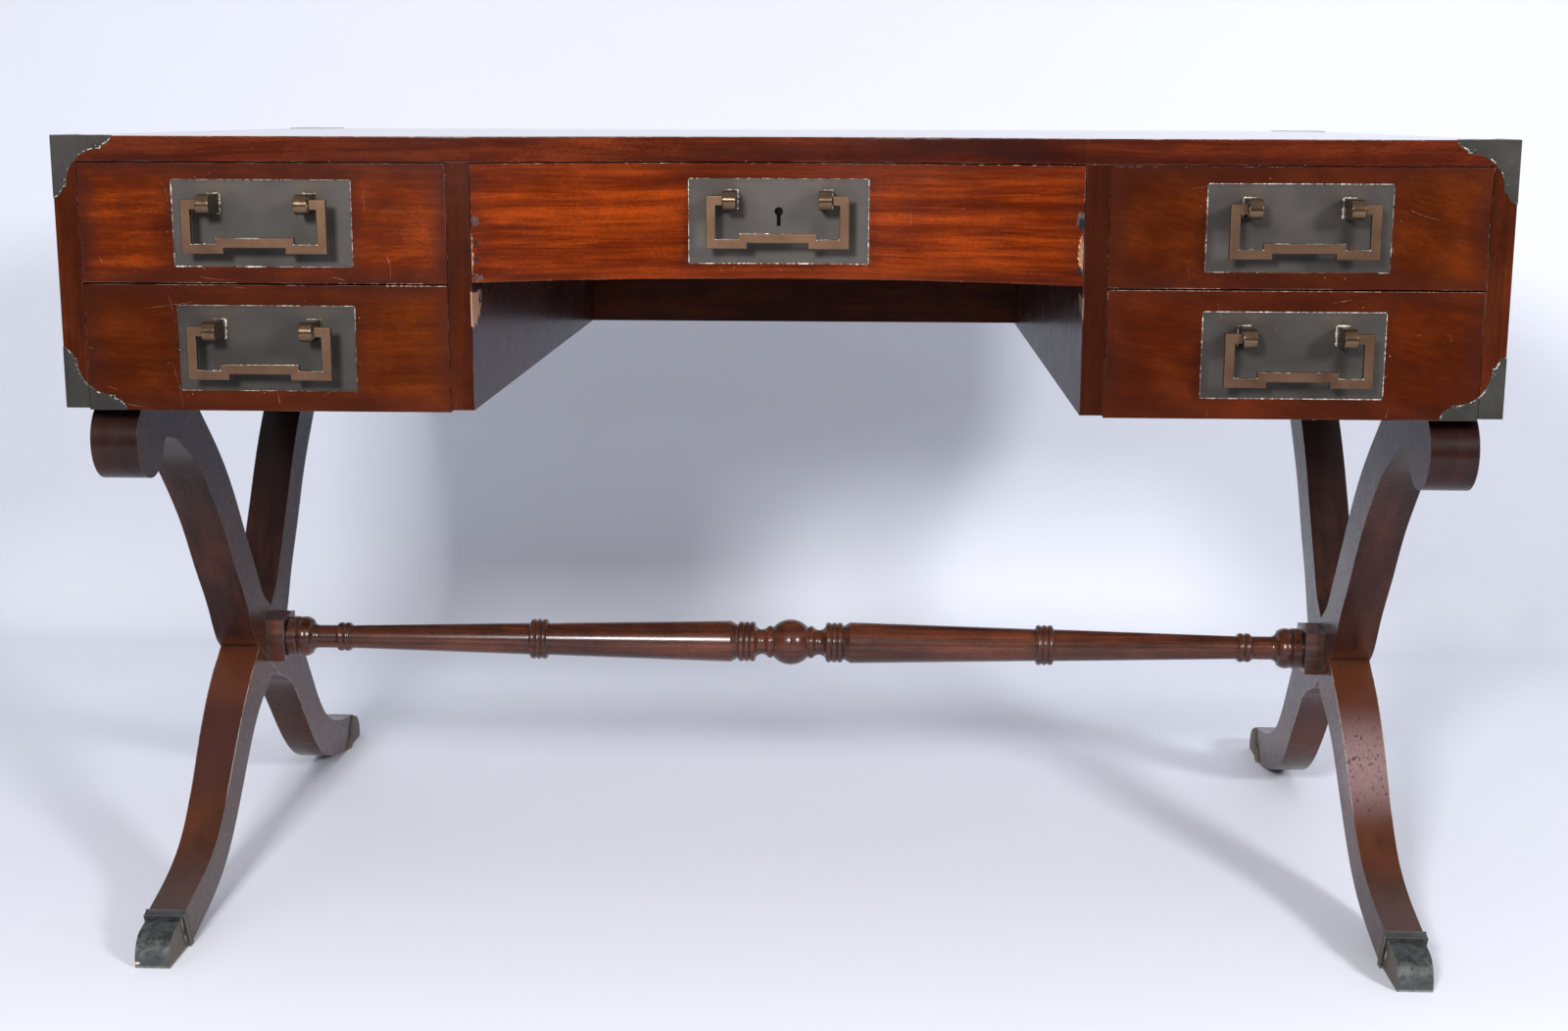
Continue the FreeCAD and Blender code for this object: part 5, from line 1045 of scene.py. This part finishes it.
def dress_toes():
    """Two thin mouldings round each brass toe's band, and white stopping where the band meets the toe."""
    (band_top, band_low), (back_top, back_low) = np.array(BAND_FRONT), np.array(BAND_BACK)
    lean = (back_top - band_top) / np.linalg.norm(back_top - band_top)
    lips, paste = Pile(), Pile()
    for foot, end in (("front", -1), ("rear", 1)):
        for name in ("left", "right"):
            low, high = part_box(f"sabot_{foot}_{name}")
            tip = low[1] if end < 0 else high[1]
            middle = (low[0] + high[0]) / 2

            def place(x, run):
                across = np.broadcast_to(x, len(run))
                return np.stack([across, tip - end * run[:, 0] * MM, run[:, 1] * MM], -1)

            t = np.linspace(0, 1, 30)[:, None]
            wide = np.full(30, LIP_WIDE)
            for top, bottom, shift in ((band_top, band_low, LIP_INSET), (back_top, back_low, -LIP_INSET)):
                run = bottom + (top - bottom) * t + shift * lean
                for side, x in ((-1, low[0]), (1, high[0])):
                    lips.ridge(place(x, run), (side, 0.0, 0.0), wide, LIP_RISE)
                level = np.repeat((top + shift * lean)[None], 30, 0)
                crossing = place(np.linspace(low[0], high[0], 30), level)
                lips.ridge(crossing, (0.0, end * lean[1], lean[0]), wide, LIP_RISE)
            inner = middle + (TOE_HALF if name == "left" else -TOE_HALF)
            run = band_low + (band_top - band_low) * np.linspace(0.05, 0.93, 60)[:, None] - 0.4 * lean
            out = (1.0 if name == "left" else -1.0, 0.0, 0.0)
            paste.ridge(place(inner, run), out, ragged(60, [(-0.1, 1.1, 1.3)], 0.6 * MM), 0.4 * MM)
    lips.finish("toe_mouldings", "sabot", CASE, "sabot_brass")
    paste.finish("toe_stopping", "filler", CASE, "sabot_brass")


dress_toes()


# ---------------------------------------------------------------- stage, lamps and camera

def paper(name, one_sided):
    """Matt seamless paper that fades out far from the desk; a one-sided sheet isn't seen from behind."""
    f = Finish(name)
    fine = f.noise(0.6, seed=31.0)
    tone = f.mix(fine, scaled(0.985, FLOOR_COLOUR), FLOOR_COLOUR)
    sheet = f.node("ShaderNodeBsdfDiffuse", None, {"Color": tone})
    clear = f.node("ShaderNodeBsdfTransparent")
    x, y, z = f.axes()
    gone = ((x * x + y * y + z * z) ** 0.5).step(*FADE)
    if one_sided:
        behind = f.node("ShaderNodeNewGeometry", output="Backfacing")
        shadow = f.node("ShaderNodeLightPath", output="Is Shadow Ray")
        gone = gone.most(behind.most(shadow))
    sheet = f.node("ShaderNodeMixShader", None, [gone, sheet, clear])
    f.node("ShaderNodeOutputMaterial", None, [sheet])
    return f.owner


WALL_Y, WALL_HALF, WALL_TOP = 1.02, 4.5, 4.0
SWEEP = 0.16
SHEET = 0.0004
HALF_STAGE = 5.0
FADE = (1.9, 3.4)
FLOOR_COLOUR = (0.80, 0.82, 0.90)
LAMP_TARGET = (0.0, 0.0, 0.45)


def make_stage():
    """A level floor, and a sheet that lies on it behind the desk and sweeps up in a quarter circle."""
    span = HALF_STAGE
    corners = np.array([(-span, -span, 0), (span, -span, 0), (span, span, 0), (-span, span, 0)], float)
    floor = add_mesh("floor", corners, [(0, 1, 2, 3)], paper("floor_paper", False))
    angle = np.linspace(0, math.pi / 2, 17)
    y = np.concatenate([[WALL_Y - SWEEP - 0.02], WALL_Y - SWEEP + SWEEP * np.sin(angle), [WALL_Y]])
    z = np.concatenate([[SHEET], SHEET + SWEEP - SWEEP * np.cos(angle), [WALL_TOP]])
    x = np.array([-WALL_HALF, WALL_HALF])
    points = np.stack([np.repeat(x, len(y)), np.tile(y, 2), np.tile(z, 2)], 1)
    wall = add_mesh("backdrop", points, sheet_faces(2, len(y)).tolist(), paper("backdrop_paper", True),
                    smooth=True)


def aim(name, data, place, right, up, ahead):
    """A lamp or camera at a place; it looks ahead."""
    made = bpy.data.objects.new(name, data)
    bpy.context.scene.collection.objects.link(made)
    rows = [[right[i], up[i], -ahead[i], place[i]] for i in range(3)]
    made.matrix_world = Matrix(rows + [[0, 0, 0, 1]])
    return made


def lamp(name, place, size, watts):
    """A square soft lamp that faces the middle of the desk."""
    light = bpy.data.lights.new(name, "AREA")
    light.shape = "RECTANGLE"
    light.size = light.size_y = size
    light.energy = watts
    ahead = np.array(LAMP_TARGET) - np.array(place)
    ahead /= np.linalg.norm(ahead)
    right = np.cross(ahead, (0, 0, 1))
    right /= np.linalg.norm(right)
    aim(name, light, place, right, np.cross(right, ahead), ahead)


def make_world(level_low, level_high, tint):
    """Soft room light that grows from the horizon to the ceiling; the camera sees the plain backdrop."""
    f = Finish("studio", "worlds")
    bpy.context.scene.world = f.owner
    where = f.node("ShaderNodeTexCoord", output="Generated")
    height = f.node("ShaderNodeSeparateXYZ", None, [where], output="Z")
    level = f.node("ShaderNodeMapRange", None, {"Value": height, "From Min": -0.05, "From Max": 0.75,
                                                "To Min": level_low, "To Max": level_high})
    shine = f.node("ShaderNodeBackground", None, {"Color": (*tint, 1.0), "Strength": level})
    plain = f.node("ShaderNodeBackground", None, {"Color": (*FLOOR_COLOUR, 1.0)})
    seen = f.node("ShaderNodeLightPath", output="Is Camera Ray")
    either = f.node("ShaderNodeMixShader", None, [seen, shine, plain])
    f.node("ShaderNodeOutputWorld", None, [either])


CAMERA_PLACE = (0.07417, -2.11187, 0.78733)
CAMERA_TURN = (-0.193666, -0.002856, 0.038391)
CAMERA_LENS = 47.29


def make_camera():
    """The camera from its place and its pitch, roll and yaw in radians."""
    pitch, roll, yaw = CAMERA_TURN
    turn = Matrix.Rotation(yaw, 3, "Z") @ Matrix.Rotation(pitch, 3, "X") @ Matrix.Rotation(roll, 3, "Y")
    right, ahead, up = turn.col
    camera = bpy.data.cameras.new("camera")
    camera.lens = CAMERA_LENS
    camera.sensor_width = 36.0
    bpy.context.scene.camera = aim("camera", camera, CAMERA_PLACE, right, up, ahead)


make_stage()
lamp("lamp_left", (-0.55, -2.7, 1.47), 0.4, 70)
lamp("lamp_right", (2.1, -2.5, 1.6), 0.5, 69.5)
make_world(0.03, 0.55, (0.97, 0.98, 1.0))
make_camera()
bpy.context.scene.view_settings.view_transform = "Standard"
